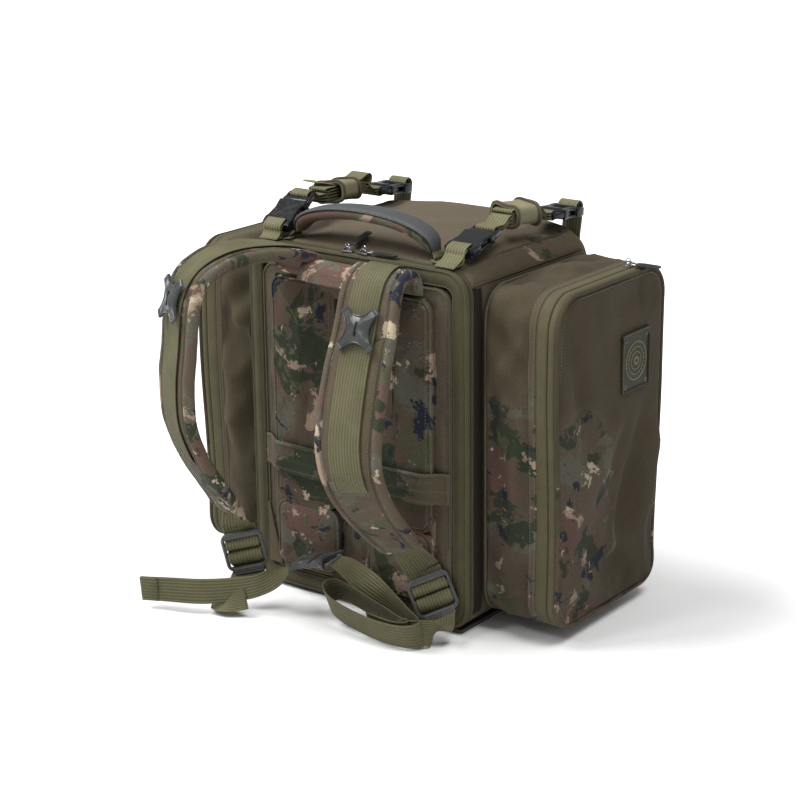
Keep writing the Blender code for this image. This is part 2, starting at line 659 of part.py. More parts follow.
def carry_handle(mats):
    """Padded arch over the top front edge, on one pivot line through both of its ends."""
    base_z = BODY_H + HANDLE_LIFT
    controls = []
    for step in range(9):
        angle = math.pi * step / 8
        reach = HANDLE_SPAN / 2 * math.cos(angle)
        rise = HANDLE_RISE * math.sin(angle) ** 0.8 if 0 < step < 8 else 0.0
        width = HANDLE_W if 0 < step < 8 else HANDLE_END_W
        controls.append(((-reach, HANDLE_Y, base_z + rise), (0, 1, 0), width))
    handle = ribbon("carry_handle", controls, HANDLE_T, mats["grip"], per_span=2, across=2, edge=0.002)
    pivot("carry_handle_pivot", (0.0, HANDLE_Y, base_z), handle)


def main_zip_sliders(mats):
    """Two sliders that meet at the middle of the panel's top edge, each with its pull tab."""
    top = BODY_H + GAP
    y0, y1 = FRONT_Y + 0.0008, FRONT_Y + 0.0098
    middle_y = (y0 + y1) / 2
    for side, sign in SIDES.items():
        x = sign * MAIN_SLIDER_X
        slider_low = (x - MAIN_SLIDER_HALF_W, y0, top)
        slider_high = (x + MAIN_SLIDER_HALF_W, y1, top + SLIDER_H)
        slider = box(f"main_slider_{side}", slider_low, slider_high, mats["metal"], 0.001)
        pivot(f"main_slider_{side}_start", (x, middle_y, top), slider)
    right_x = MAIN_SLIDER_X + 0.0087
    tab_low = (right_x, y0 + 0.0005, top + 0.0025)
    tab_high = (right_x + MAIN_PULL_LEN, y1 - 0.0005, tab_low[2] + MAIN_PULL_T)
    tab = box("main_pull_right", tab_low, tab_high, mats["grey_plastic"])
    pivot("main_pull_right_pivot", (right_x, middle_y, top + 0.0035), tab)
    left_y = y1 + 0.001
    tab_low = (-0.0045, 0.0, -MAIN_PULL_T / 2)
    tab_high = (0.0045, MAIN_PULL_LEN, MAIN_PULL_T / 2)
    tab = box("main_pull_left", tab_low, tab_high, mats["grey_plastic"])
    tab.location = (-MAIN_SLIDER_X, left_y, top + 0.0055)
    tab.rotation_euler = (math.radians(PULL_SLOPE), 0.0, 0.0)
    bpy.context.view_layer.update()
    pivot("main_pull_left_pivot", (-MAIN_SLIDER_X, left_y, top + 0.0055), tab)


def build():
    clear_scene()
    mats = palette()
    main_bag(mats)
    moving, hinge = harness_panel(mats)
    for side in SIDES:
        moving += shoulder_strap(side, mats)
    halves, (right_web, left_web) = waist_belt(mats)
    moving += [right_web, halves["right"]]
    pivot("harness_hinge", hinge, *moving)
    pivot("waist_clasp_start", halves["left"].matrix_world.translation, halves["left"], left_web)
    for side in SIDES:
        side_pocket(side, mats)
        top_strap(side, mats)
    carry_handle(mats)
    main_zip_sliders(mats)


build()
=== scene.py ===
"""Looks of the tackle backpack: soft goods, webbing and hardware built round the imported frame.

Metres, in the frame of the CAD model: +Z up, the harness faces -Y, the wearer's right is +X.
"""

import json
import math

import bmesh
import bpy
import numpy as np
from mathutils import Matrix, Vector, noise

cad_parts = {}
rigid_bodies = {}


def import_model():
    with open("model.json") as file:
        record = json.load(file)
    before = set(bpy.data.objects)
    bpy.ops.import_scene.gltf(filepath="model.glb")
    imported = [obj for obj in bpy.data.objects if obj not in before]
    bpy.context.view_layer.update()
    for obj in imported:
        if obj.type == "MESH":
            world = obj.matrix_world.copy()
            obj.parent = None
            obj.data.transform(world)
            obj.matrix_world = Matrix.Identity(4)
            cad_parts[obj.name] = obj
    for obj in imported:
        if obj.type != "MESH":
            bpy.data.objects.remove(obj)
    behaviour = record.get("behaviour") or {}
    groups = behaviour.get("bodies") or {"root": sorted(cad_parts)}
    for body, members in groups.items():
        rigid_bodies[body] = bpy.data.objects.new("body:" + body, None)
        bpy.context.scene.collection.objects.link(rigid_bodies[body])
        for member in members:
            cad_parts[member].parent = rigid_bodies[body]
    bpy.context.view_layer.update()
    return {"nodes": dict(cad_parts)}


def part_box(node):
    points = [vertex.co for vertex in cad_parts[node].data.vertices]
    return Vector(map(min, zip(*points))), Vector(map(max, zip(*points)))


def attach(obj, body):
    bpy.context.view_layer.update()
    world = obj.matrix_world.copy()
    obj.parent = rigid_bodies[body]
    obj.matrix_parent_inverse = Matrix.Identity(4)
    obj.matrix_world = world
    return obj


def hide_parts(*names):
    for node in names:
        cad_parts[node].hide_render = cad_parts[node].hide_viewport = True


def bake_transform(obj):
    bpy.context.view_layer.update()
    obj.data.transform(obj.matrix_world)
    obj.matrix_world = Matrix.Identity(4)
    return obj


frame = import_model()

# The body's sizes, as in the CAD model
HALF_W = 0.1465
FRONT_Y, BACK_Y = -0.117, 0.117
BODY_Z0, BODY_Z1 = 0.0044, 0.400
BODY_CORNER = 0.030
CROWN = 0.018
FRAME_T = 0.0115
POCKET_Y0, POCKET_Y1 = -0.093, 0.117
POCKET_Z0, POCKET_Z1 = 0.018, 0.380
POCKET_CORNER = 0.035
POCKET_X0 = 0.1469
GUSSET_X1 = 0.2084
TAPE_X0, TAPE_X1 = 0.2088, 0.2288
DOOR_X0, DOOR_X1 = 0.2292, 0.2395

# The doors' fold line, and the plane, gap and softness by which a lowered door keeps clear of the ground
FOLD_X, FOLD_Z = 0.2292, 0.0184
GROUND_SLOPE, GROUND_GAP, GROUND_EASE = math.tan(math.radians(2)), 0.0008, 0.0020

# Webbing: widths, thickness and the ribs along it, and how far the top straps lie from the middle
WEB_W, WEB_T = 0.038, 0.002
TOP_WEB = 0.025
WAIST_WEB, LOOP_WEB = 0.028, 0.033
WEB_RIBS, TOP_RIBS, WAIST_RIBS = 11, 7, 8
TOP_X = 0.117
SIDES = {"right": 1, "left": -1}

# Rows between two controls of a curve, the cloth simulation's settings, and cloth and zip details
SPAN_STEPS = 14
SIM_FRAMES, PRESSURE, STRETCH, SHEAR, BENDING, DAMPING = 20, 3.5, 12.0, 4.0, 0.4, 2.0
CLOTH_BUMP = 0.00022
COIL_PITCH, COIL_LENGTH = 0.0021, 0.0014

MATS = {}
CLOTHS = []


# ---------------------------------------------------------------- small maths


def unit(v):
    v = np.asarray(v, float)
    return v / np.maximum(np.linalg.norm(v, axis=-1, keepdims=True), 1e-12)


def ease(a, b, x):
    t = np.clip((np.asarray(x, float) - a) / (b - a), 0, 1)
    return t * t * (3 - 2 * t)


def ripple(points, scale, seed=0.0):
    """Smooth noise from -1 to 1 at each point, repeating about every 1/scale metres."""
    shift = Vector((seed * 7.3, seed * 3.1, seed * 5.7))
    flat = np.asarray(points, float).reshape(-1, 3)
    values = [noise.noise(Vector(p) * scale + shift) for p in flat]
    return np.array(values).reshape(np.asarray(points).shape[:-1])


def crease(points, scale, seed=0.0):
    """Soft ground with sharper folds running through it, from about -1 to 1."""
    return 1.0 - 3.2 * np.abs(ripple(points, scale, seed)) ** 0.75


def folds(points, lines):
    """Soft ridges, or hollows where the height is below 0, along lines of (start, end, width, height)."""
    total = np.zeros(points.shape[:-1])
    for start, end, width, height in lines:
        start = np.array(start)
        run = np.array(end) - start
        t = np.clip(((points - start) @ run) / (run @ run), 0, 1)
        away = np.linalg.norm(points - start - t[..., None] * run, axis=-1)
        total += height * np.exp(-((away / width) ** 2)) * (0.4 + 0.6 * np.sin(math.pi * t))
    return total


def route(controls, step):
    """Catmull-Rom rows through the controls, evenly spaced by the first three columns."""
    c = np.array(controls, float)
    ends = np.vstack([c[:1], c, c[-1:]])
    rows = []
    for p0, p1, p2, p3 in zip(ends, ends[1:], ends[2:], ends[3:]):
        for k in range(SPAN_STEPS):
            t = k / SPAN_STEPS
            rows.append(0.5 * (2 * p1 + (p2 - p0) * t + (2 * p0 - 5 * p1 + 4 * p2 - p3) * t * t
                               + (3 * p1 - p0 - 3 * p2 + p3) * t**3))
    rows.append(c[-1])
    return even(np.array(rows), step)


def even(rows, step):
    """The rows again, spaced evenly by the first three columns."""
    run = arc_length(rows)
    count = max(2, int(round(run[-1] / step)) + 1)
    at = np.linspace(0, run[-1], count)
    return np.stack([np.interp(at, run, rows[:, k]) for k in range(rows.shape[1])], axis=1)


def arc_length(points):
    """How far along the line each point is."""
    return np.concatenate([[0], np.cumsum(np.linalg.norm(np.diff(points[:, :3], axis=0), axis=1))])


def at_y(xz, y):
    """Points (x, z) set at one y."""
    return np.stack([xz[:, 0], np.full(len(xz), y), xz[:, 1]], axis=1)


def at_x(yz, x):
    """Points (y, z) set at one x."""
    return np.stack([np.full(len(yz), x), yz[:, 0], yz[:, 1]], axis=1)


def frames(points, sides, closed=False):
    """Side, outward normal and direction at each point, with normal = direction x side."""
    if closed:
        along = np.roll(points, -1, axis=0) - np.roll(points, 1, axis=0)
    else:
        along = np.gradient(points, axis=0)
    along = unit(along)
    sides = np.broadcast_to(np.asarray(sides, float), points.shape)
    side = unit(sides - along * (sides * along).sum(-1, keepdims=True))
    return side, np.cross(along, side), along


def rounded(a0, a1, b0, b1, radius, step=0.008, arc=7):
    """A rounded rectangle's points and outward normals, anticlockwise from the middle of its low-b side."""
    points, normals = [], []

    def straight(p, q, n):
        count = max(1, int(round(math.dist(p, q) / step)))
        for k in range(count):
            points.append((p[0] + (q[0] - p[0]) * k / count, p[1] + (q[1] - p[1]) * k / count))
            normals.append(n)

    def corner(ca, cb, start):
        for k in range(arc):
            angle = math.radians(start + 90 * k / arc)
            n = (math.cos(angle), math.sin(angle))
            points.append((ca + radius * n[0], cb + radius * n[1]))
            normals.append(n)

    mid = (a0 + a1) / 2
    r = radius
    straight((mid, b0), (a1 - r, b0), (0, -1))
    corner(a1 - r, b0 + r, -90)
    straight((a1, b0 + r), (a1, b1 - r), (1, 0))
    corner(a1 - r, b1 - r, 0)
    straight((a1 - r, b1), (a0 + r, b1), (0, 1))
    corner(a0 + r, b1 - r, 90)
    straight((a0, b1 - r), (a0, b0 + r), (-1, 0))
    corner(a0 + r, b0 + r, 180)
    straight((a0 + r, b0), (mid, b0), (0, -1))
    return np.array(points), np.array(normals, float)


SMALL_SECTION = rounded(-1, 1, -1, 1, 0.5, 1, 2)[0]


# ---------------------------------------------------------------- mesh makers


def put(name, mesh, mat, body, sharp=50, replaces=(), slot=None):
    obj = bpy.data.objects.new(name, mesh)
    bpy.context.scene.collection.objects.link(obj)
    mesh.materials.append(MATS[mat])
    mesh.shade_smooth()
    if sharp:
        mesh.set_sharp_from_angle(angle=math.radians(sharp))
    if replaces:
        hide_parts(*replaces)
    if body:
        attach(obj, body)
    return obj


def coords(mesh):
    """A mesh's vertices as rows of x, y, z."""
    co = np.empty(len(mesh.vertices) * 3, np.float32)
    mesh.vertices.foreach_get("co", co)
    return co.reshape(-1, 3)


def paint(obj, value):
    """Writes how much of the printed pattern shows: one number, one for each point, or a function."""
    attribute = obj.data.attributes.get("camo") or obj.data.attributes.new("camo", "FLOAT", "POINT")
    co = coords(obj.data)
    amount = value(co) if callable(value) else value
    attribute.data.foreach_set("value", np.broadcast_to(np.asarray(amount, np.float32), len(co)).copy())


def skin(name, rows, mat, body, loop=False, caps=(0, -1), us=None, vs=None, **how):
    """Quads over rows of points, each row a closed ring. With loop, the last row meets the first; without it,
    the rows named in caps are closed by a face."""
    rows = np.asarray(rows, float)
    nv, nu = rows.shape[:2]
    ii, jj = np.meshgrid(np.arange(nv if loop else nv - 1), np.arange(nu), indexing="ij")
    ii, jj = ii.ravel(), jj.ravel()
    i2, j2 = (ii + 1) % nv, (jj + 1) % nu
    faces = np.stack([ii * nu + jj, ii * nu + j2, i2 * nu + j2, i2 * nu + jj], axis=1).tolist()
    if us is None:
        us = arc_length(np.vstack([rows[0], rows[0][:1]]))
    if vs is None:
        line = rows[:, 0]
        vs = arc_length(np.vstack([line, line[:1]]) if loop else line)
    uv = np.stack([np.stack([us[jj], us[jj + 1], us[jj + 1], us[jj]], 1),
                   np.stack([vs[ii], vs[ii], vs[ii + 1], vs[ii + 1]], 1)], axis=2)
    uvs = uv.reshape(-1, 2).tolist()
    for row in () if loop else caps:
        faces.append([row % nv * nu + k for k in range(nu)])
        uvs += [(us[k], vs[row]) for k in range(nu)]
    mesh = bpy.data.meshes.new(name)
    mesh.from_pydata(rows.reshape(-1, 3).tolist(), [], faces)
    layer = mesh.uv_layers.new(name="UVMap")
    layer.data.foreach_set("uv", np.array(uvs, np.float32).ravel())
    turn_out(mesh)
    return put(name, mesh, mat, body, **how)


def turn_out(mesh):
    """Turns every face outwards."""
    bm = bmesh.new()
    bm.from_mesh(mesh)
    bmesh.ops.recalc_face_normals(bm, faces=bm.faces)
    bm.to_mesh(mesh)
    bm.free()


def sweep_rows(points, sides, profile, closed=False, wide=1.0, thick=1.0, lift=0.0):
    """The profile of (across, up) points carried along a line and scaled by wide and thick."""
    side, normal, _ = frames(points, sides, closed)
    wide = np.broadcast_to(np.asarray(wide, float), len(points))[:, None, None]
    thick = np.broadcast_to(np.asarray(thick, float), len(points))[:, None, None]
    a = profile[None, :, 0, None] * wide
    b = profile[None, :, 1, None] * thick + lift
    return points[:, None] + side[:, None] * a + normal[:, None] * b


def circle(radius, count):
    angle = np.arange(count) * 2 * math.pi / count
    return np.stack([radius * np.cos(angle), radius * np.sin(angle)], axis=1)


def tube_rows(points, radius, count, closed=False):
    """Rings round a line. The sideways hint is a direction that no line here follows."""
    points = np.asarray(points, float)
    ahead = np.roll(points, -1, 0) - np.roll(points, 1, 0) if closed else np.gradient(points, axis=0)
    side = unit(np.cross(unit(ahead), np.array([0.31, 0.17, 0.93])))
    return sweep_rows(points, side, circle(1.0, count), closed, radius, radius)


def tube(name, points, radius, mat, body, closed=False, count=8):
    return skin(name, tube_rows(points, radius, count, closed), mat, body, loop=closed)


def web_profile(width, thickness, ribs):
    """Webbing cut across: rounded edges and lengthwise ribs on both faces. Also the u of each point."""
    half = width / 2
    edge = half - 0.0008
    u = np.linspace(-edge, edge, ribs * 4 + 1)
    rib = 0.10 * thickness * np.cos((u + half) / width * ribs * 2 * math.pi)
    top = np.stack([u, np.full_like(u, thickness / 2 - 0.16 * thickness) - rib], axis=1)
    low = np.stack([u[::-1], -(thickness / 2 - 0.16 * thickness) + rib[::-1]], axis=1)
    profile = np.vstack([top, [[half, 0.0]], low, [[-half, 0.0]]])
    us = np.concatenate([u, [half], u[::-1], [-half], [-edge]])
    return profile, us


def webbing(name, controls, body, width=WEB_W, thickness=WEB_T, step=0.004, ribs=WEB_RIBS, mat="webbing",
            **how):
    """Controls are (x, y, z, side x, side y, side z[, width])."""
    rows = route(controls, step)
    points, sides = rows[:, :3], rows[:, 3:6]
    profile, us = web_profile(width, thickness, ribs)
    wide = rows[:, 6] / width if rows.shape[1] > 6 else 1.0
    built = sweep_rows(points, sides, profile, wide=wide)
    vs = np.arange(len(built)) * step
    return skin(name, built, mat, body, us=us, vs=vs, sharp=None, **how)


class Heap:
    """Many small solids of one material and one body, kept as one mesh."""

    def __init__(self, name, mat, body):
        self.name, self.mat, self.body = name, mat, body
        self.verts, self.faces = [], []

    def add(self, verts, faces):
        base = len(self.verts)
        self.verts += [tuple(map(float, v)) for v in verts]
        self.faces += [[base + k for k in face] for face in faces]

    def rows(self, rows, loop=False):
        rows = np.asarray(rows, float)
        nv, nu = rows.shape[:2]
        faces = []
        for i in range(nv if loop else nv - 1):
            for j in range(nu):
                k, n = (j + 1) % nu, (i + 1) % nv
                faces.append([i * nu + j, i * nu + k, n * nu + k, n * nu + j])
        if not loop:
            faces += [list(range(nu))[::-1], [(nv - 1) * nu + k for k in range(nu)]]
        self.add(rows.reshape(-1, 3), faces)

    def plate(self, outline, holes, thickness, matrix, bevel):
        """A flat outline with holes in the local XY plane, with rounded edges, set in place."""
        curve = bpy.data.curves.new("plate", "CURVE")
        curve.dimensions = "2D"
        curve.fill_mode = "BOTH"
        curve.extrude = thickness / 2 - bevel
        curve.bevel_depth = bevel
        curve.bevel_resolution = 1
        curve.offset = -bevel
        for points in (outline, *holes):
            spline = curve.splines.new("POLY")
            spline.points.add(len(points) - 1)
            for point, (x, y) in zip(spline.points, points):
                point.co = (x, y, 0.0, 1.0)
            spline.use_cyclic_u = True
        holder = bpy.data.objects.new("plate", curve)
        bpy.context.scene.collection.objects.link(holder)
        mesh = holder.to_mesh()
        self.add([matrix @ v.co for v in mesh.vertices], [list(p.vertices) for p in mesh.polygons])
        holder.to_mesh_clear()
        bpy.data.objects.remove(holder)
        bpy.data.curves.remove(curve)

    def block(self, low, high, matrix, round_by):
        """A box between two corners in the matrix's frame, with rounded edges."""
        bm = bmesh.new()
        size = Vector(high) - Vector(low)
        middle = (Vector(high) + Vector(low)) / 2
        bmesh.ops.create_cube(bm, size=1.0, matrix=Matrix.Translation(middle) @ Matrix.Diagonal((*size, 1.0)))
        if round_by:
            bmesh.ops.bevel(bm, geom=list(bm.edges), offset=round_by, segments=2, affect="EDGES", profile=0.5)
        bm.verts.index_update()
        self.add([matrix @ v.co for v in bm.verts], [[v.index for v in f.verts] for f in bm.faces])
        bm.free()

    def torus(self, centre, axis, radius, thick, count):
        axis = unit(axis)
        hint = np.array([1.0, 0, 0]) if abs(axis[0]) < 0.8 else np.array([0, 1.0, 0])
        a = unit(np.cross(axis, hint))
        b = np.cross(axis, a)
        angle = np.arange(count) * 2 * math.pi / count
        out = np.cos(angle)[:, None] * a + np.sin(angle)[:, None] * b
        points = np.asarray(centre, float) + out * radius
        section = circle(thick, 6)
        across, up = section[None, :, 0, None], section[None, :, 1, None]
        self.rows(points[:, None] + out[:, None] * across + axis * up, True)

    def tube(self, points, radius, count):
        self.rows(tube_rows(points, radius, count))

    def stitches(self, points, normals, pitch=0.0036, length=0.0024, radius=0.00032, lift=0.0001,
                 closed=False):
        """A row of short raised threads along a line."""
        points = np.asarray(points, float)
        normals = np.broadcast_to(np.asarray(normals, float), points.shape)
        if closed:
            points = np.vstack([points, points[:1]])
            normals = np.vstack([normals, normals[:1]])
        run = arc_length(points)
        at = np.arange(pitch / 2, run[-1] - pitch / 2, pitch)
        mids = np.stack([np.interp(at, run, points[:, k]) for k in range(3)], axis=1)
        ups = unit(np.stack([np.interp(at, run, normals[:, k]) for k in range(3)], axis=1))
        ahead = np.stack([np.interp(at + 1e-4, run, points[:, k]) for k in range(3)], axis=1)
        along = unit(ahead - mids)
        side = np.cross(along, ups)
        ring = circle(1.0, 5)
        for mid, up, fore, across in zip(mids, ups, along, side):
            rows = []
            for place, size in ((-0.5, 0.35), (-0.3, 1.0), (0.3, 1.0), (0.5, 0.35)):
                centre = mid + up * lift + fore * (place * length)
                scaled = ring * radius * size
                rows.append(centre + across * scaled[:, :1] + up * scaled[:, 1:])
            self.rows(rows)

    def stitch_ring(self, outline, normals, inset, y):
        """Stitches on a face towards -Y, at one distance in from its outline."""
        self.stitches(at_y(outline - normals * inset, y), [0, -1, 0], closed=True)

    def done(self, sharp=40, **how):
        mesh = bpy.data.meshes.new(self.name)
        mesh.from_pydata(self.verts, [], self.faces)
        turn_out(mesh)
        return put(self.name, mesh, self.mat, self.body, sharp=sharp, **how)


def thicken(obj, thickness, lined=False):
    """Gives a sheet its thickness, inwards; a lined one shows the lining on its inner face."""
    solidify = obj.modifiers.new("Solidify", "SOLIDIFY")
    solidify.thickness = thickness
    solidify.offset = -1.0
    if lined:
        solidify.material_offset = len(obj.data.materials)
        obj.data.materials.append(MATS["lining"])


def axes(origin, x_axis, y_axis):
    """The frame at a point, from its x axis and a direction near its y axis."""
    x_axis = Vector(x_axis).normalized()
    y_axis = Vector(y_axis)
    y_axis = (y_axis - x_axis * y_axis.dot(x_axis)).normalized()
    turned = Matrix((x_axis, y_axis, x_axis.cross(y_axis))).transposed().to_4x4()
    return Matrix.Translation(Vector(origin)) @ turned


def placed(matrix, points):
    """Points of the matrix's frame, as points of the bag's."""
    return np.array([matrix @ Vector(p) for p in points])


def solid_box(node):
    """A CAD node's low corner, high corner and centre."""
    low, high = (np.array(v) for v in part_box(node))
    return low, high, (low + high) / 2


# ---------------------------------------------------------------- cloth


def soft(obj, cap, hold):
    """Sets a piece to swell by up to cap; hold is the share, 0 to 1, by which each point is held."""
    group = obj.vertex_groups.new(name="held")
    for index, share in enumerate(np.clip(hold.ravel(), 0, 1)):
        if share > 0.01:
            group.add([index], float(share), "REPLACE")
    sim = obj.modifiers.new("Cloth", "CLOTH")
    s = sim.settings
    s.quality = 5
    s.mass = 0.15
    s.tension_stiffness = s.compression_stiffness = STRETCH
    s.shear_stiffness = SHEAR
    s.bending_stiffness = BENDING
    s.air_damping = DAMPING
    s.use_pressure = True
    s.uniform_pressure_force = PRESSURE
    s.effector_weights.gravity = 0.0
    s.vertex_group_mass = "held"
    sim.collision_settings.use_collision = False
    sim.collision_settings.use_self_collision = False
    sim.point_cache.frame_start = 1
    sim.point_cache.frame_end = SIM_FRAMES
    CLOTHS.append((obj, coords(obj.data), cap))


def run_cloth():
    """Steps every waiting cloth together, then keeps each result as its mesh."""
    if not CLOTHS:
        return
    scene = bpy.context.scene
    for number in range(1, SIM_FRAMES + 1):
        scene.frame_set(number)
    graph = bpy.context.evaluated_depsgraph_get()
    results = []
    for obj, rest, cap in CLOTHS:
        moved = coords(obj.evaluated_get(graph).to_mesh()) - rest
        obj.evaluated_get(graph).to_mesh_clear()
        size = np.linalg.norm(moved, axis=1, keepdims=True)
        results.append(rest + moved * np.minimum(1.0, cap / np.maximum(size, 1e-9)))
    for (obj, _, _), co in zip(CLOTHS, results):
        obj.modifiers.remove(obj.modifiers["Cloth"])
        obj.data.vertices.foreach_set("co", co.astype(np.float32).ravel())
        obj.data.update()
    CLOTHS.clear()
    scene.frame_set(1)


# ---------------------------------------------------------------- materials


class Graph:
    """A material and its shader nodes."""

    def __init__(self, name, roughness, metallic=0.0, **sockets):
        self.mat = bpy.data.materials.new(name)
        self.mat.use_nodes = True
        self.tree = self.mat.node_tree
        self.shader = self.tree.nodes["Principled BSDF"]
        self.shader.inputs["Roughness"].default_value = roughness
        self.shader.inputs["Metallic"].default_value = metallic
        for key, value in sockets.items():
            self.shader.inputs[key.replace("_", " ")].default_value = value
        MATS[name] = self.mat

    def node(self, kind, inputs=None, **props):
        made = self.tree.nodes.new("ShaderNode" + kind)
        for key, value in props.items():
            setattr(made, key, value)
        for key, value in (inputs or {}).items():
            if isinstance(value, bpy.types.NodeSocket):
                self.tree.links.new(value, made.inputs[key])
            else:
                made.inputs[key].default_value = value
        return made

    def objects(self):
        return self.node("TexCoord").outputs["Object"]

    def noise(self, scale, detail=3.0, rough=0.55, warp=0.0, vector=None, shift=None):
        vector = vector or self.objects()
        if shift:
            vector = self.node("VectorMath", {0: vector, 1: shift}, operation="ADD").outputs[0]
        inputs = {"Vector": vector, "Scale": scale, "Detail": detail, "Roughness": rough, "Distortion": warp}
        return self.node("TexNoise", inputs).outputs["Fac"]

    def math(self, operation, a, b=0.0):
        return self.node("Math", {0: a, 1: b}, operation=operation).outputs[0]

    def between(self, value, low, high, out_low=0.0, out_high=1.0):
        inputs = {"Value": value, "From Min": low, "From Max": high, "To Min": out_low, "To Max": out_high}
        return self.node("MapRange", inputs, interpolation_type="SMOOTHSTEP").outputs[0]

    def edges(self, low, high, out_low=0.0, out_high=1.0):
        """Rises on outward edges, where a piece is worn."""
        return self.between(self.node("NewGeometry").outputs["Pointiness"], low, high, out_low, out_high)

    def uv(self):
        return self.node("SeparateXYZ", {0: self.node("UVMap", uv_map="UVMap").outputs[0]}).outputs

    def mix(self, factor, a, b, blend="MIX"):
        made = self.node("Mix", {"Factor": factor}, data_type="RGBA", blend_type=blend)
        for socket, value in ((made.inputs[6], a), (made.inputs[7], b)):
            if isinstance(value, bpy.types.NodeSocket):
                self.tree.links.new(value, socket)
            else:
                socket.default_value = (*value, 1.0)
        return made.outputs[2]

    def shade(self, colour, factor):
        """The colour times a grey factor."""
        combined = self.node("CombineColor", {0: factor, 1: factor, 2: factor}).outputs[0]
        return self.mix(1.0, colour, combined, "MULTIPLY")

    def finish(self, colour, height, distance, strength, roughness=None):
        """Joins the colour, a bump from the height, and any roughness to the shader."""
        links = self.tree.links
        links.new(colour, self.shader.inputs["Base Color"])
        if roughness is not None:
            links.new(roughness, self.shader.inputs["Roughness"])
        bump = self.node("Bump", {"Height": height, "Distance": distance, "Strength": strength})
        links.new(bump.outputs[0], self.shader.inputs["Normal"])

    def weave(self, pitch):
        """A plain weave's height, from bands along all three axes of the piece."""
        at = self.objects()
        scale = 0.5 / pitch / 3.1416 * 0.97
        total = None
        for axis in "XYZ":
            inputs = {"Vector": at, "Scale": scale, "Distortion": 0.6, "Detail": 1.0, "Detail Scale": 1.5}
            band = self.node("TexWave", inputs, wave_type="BANDS", bands_direction=axis).outputs["Fac"]
            total = band if total is None else self.math("ADD", total, band)
        return self.math("MULTIPLY", total, 0.34)


def camo_colour(g, plain, near, shown, fewer):
    """The printed pattern over the plain colour. Its brown grounds come in softly where near rises, and its
    green, dark and navy blotches and pink-tan and cream flecks with crisp edges where shown is 1. A larger
    fewer leaves fewer pale flecks."""
    at = g.objects()
    brown = g.mix(g.noise(9, 2.0, vector=at), (0.092, 0.070, 0.050), (0.066, 0.052, 0.036))
    reddish = g.between(g.noise(15, 5.0, 0.6, 0.3, at, (3.1, 0.4, 1.7)), 0.53, 0.57)
    brown = g.mix(reddish, brown, (0.096, 0.058, 0.046))
    colour = g.mix(near, plain, brown)
    blotches = (
        ((19, 6.0, 0.62, 0.4, at, (7.7, 2.9, 5.2)), 0.545, 0.565, (0.084, 0.080, 0.060)),
        ((13, 7.0, 0.64, 0.5, at, (1.3, 8.1, 2.6)), 0.545, 0.56, (0.030, 0.036, 0.022)),
        ((24, 6.0, 0.66, 0.4, at, (5.5, 1.9, 9.3)), 0.60, 0.615, (0.062, 0.066, 0.036)),
        ((23, 7.0, 0.66, 0.6, at, (9.1, 4.4, 0.8)), 0.60, 0.612, (0.018, 0.020, 0.030)),
        ((15, 8.0, 0.66, 0.25, at, (2.2, 6.3, 4.9)), 0.575 + fewer, 0.590 + fewer, (0.245, 0.180, 0.132)),
        ((25, 8.0, 0.68, 0.3, at, (6.4, 0.7, 7.8)), 0.612 + fewer, 0.622 + fewer, (0.340, 0.280, 0.200)),
    )
    for grain, low, high, tone in blotches:
        spots = g.math("MULTIPLY", g.between(g.noise(*grain), low, high), shown)
        colour = g.mix(spots, colour, tone)
    return colour


def cloth(name, plain, deep, sheen=0.025, pitch=0.0016, ink=1.0, fewer=0.0, printed=True):
    """Woven cloth, with the print where a piece's paint asks for it; a smaller ink darkens the print."""
    g = Graph(name, 0.90, Sheen_Weight=sheen, Sheen_Roughness=0.4, Specular_IOR_Level=0.12)
    blotch = g.noise(26, 3.0)
    colour = g.mix(blotch, deep, plain)
    if printed:
        shown = g.node("Attribute", attribute_name="camo").outputs["Fac"]
        ragged = g.noise(17, 8.0, 0.66, 0.5, shift=(4.6, 4.1, 8.8))
        uneven = g.math("ADD", shown, g.math("MULTIPLY", g.math("SUBTRACT", ragged, 0.5), 1.3))
        crisp = g.between(uneven, 0.495, 0.515)
        pattern = camo_colour(g, colour, g.between(shown, 0.30, 0.80), crisp, fewer)
        colour = g.shade(pattern, g.between(uneven, 0.40, 0.60, 1.0, ink)) if ink < 1 else pattern
    grain = g.between(g.noise(620, 2.0, 0.6), 0.25, 0.75, 0.86, 1.13)
    colour = g.shade(colour, grain)
    colour = g.shade(colour, g.edges(0.49, 0.56, 0.95, 1.14))
    height = g.math("ADD", g.weave(pitch), g.math("MULTIPLY", g.noise(480, 2.0), 0.7))
    g.finish(colour, height, CLOTH_BUMP, 0.55)


def make_webbing(name, light, dark, width, ribs):
    """Webbing with its ribs along it and fine cross threads that bow over them."""
    g = Graph(name, 0.72, Sheen_Weight=0.04, Sheen_Roughness=0.4, Specular_IOR_Level=0.2)
    uv = g.uv()
    turn = 2 * math.pi * ribs / width
    rib = g.math("COSINE", g.math("MULTIPLY", g.math("ADD", uv[0], width / 2), turn))
    rib = g.math("MULTIPLY", g.math("SUBTRACT", 1.0, rib), 0.5)
    cross = g.math("MULTIPLY", uv[1], 2 * math.pi / 0.0021)
    cross = g.math("SINE", g.math("ADD", cross, g.math("MULTIPLY", rib, 2.6)))
    cross = g.math("MULTIPLY", g.math("ADD", cross, 1.0), 0.5)
    tone = g.math("ADD", g.math("MULTIPLY", rib, 0.62), g.math("MULTIPLY", cross, 0.34))
    colour = g.mix(tone, dark, light)
    colour = g.shade(colour, g.between(g.noise(34, 3.0), 0.3, 0.7, 0.88, 1.10))
    colour = g.shade(colour, g.between(g.noise(900, 1.0), 0.3, 0.7, 0.9, 1.1))
    height = g.math("ADD", rib, g.math("MULTIPLY", cross, 0.45))
    g.finish(colour, height, 0.00035, 0.7)


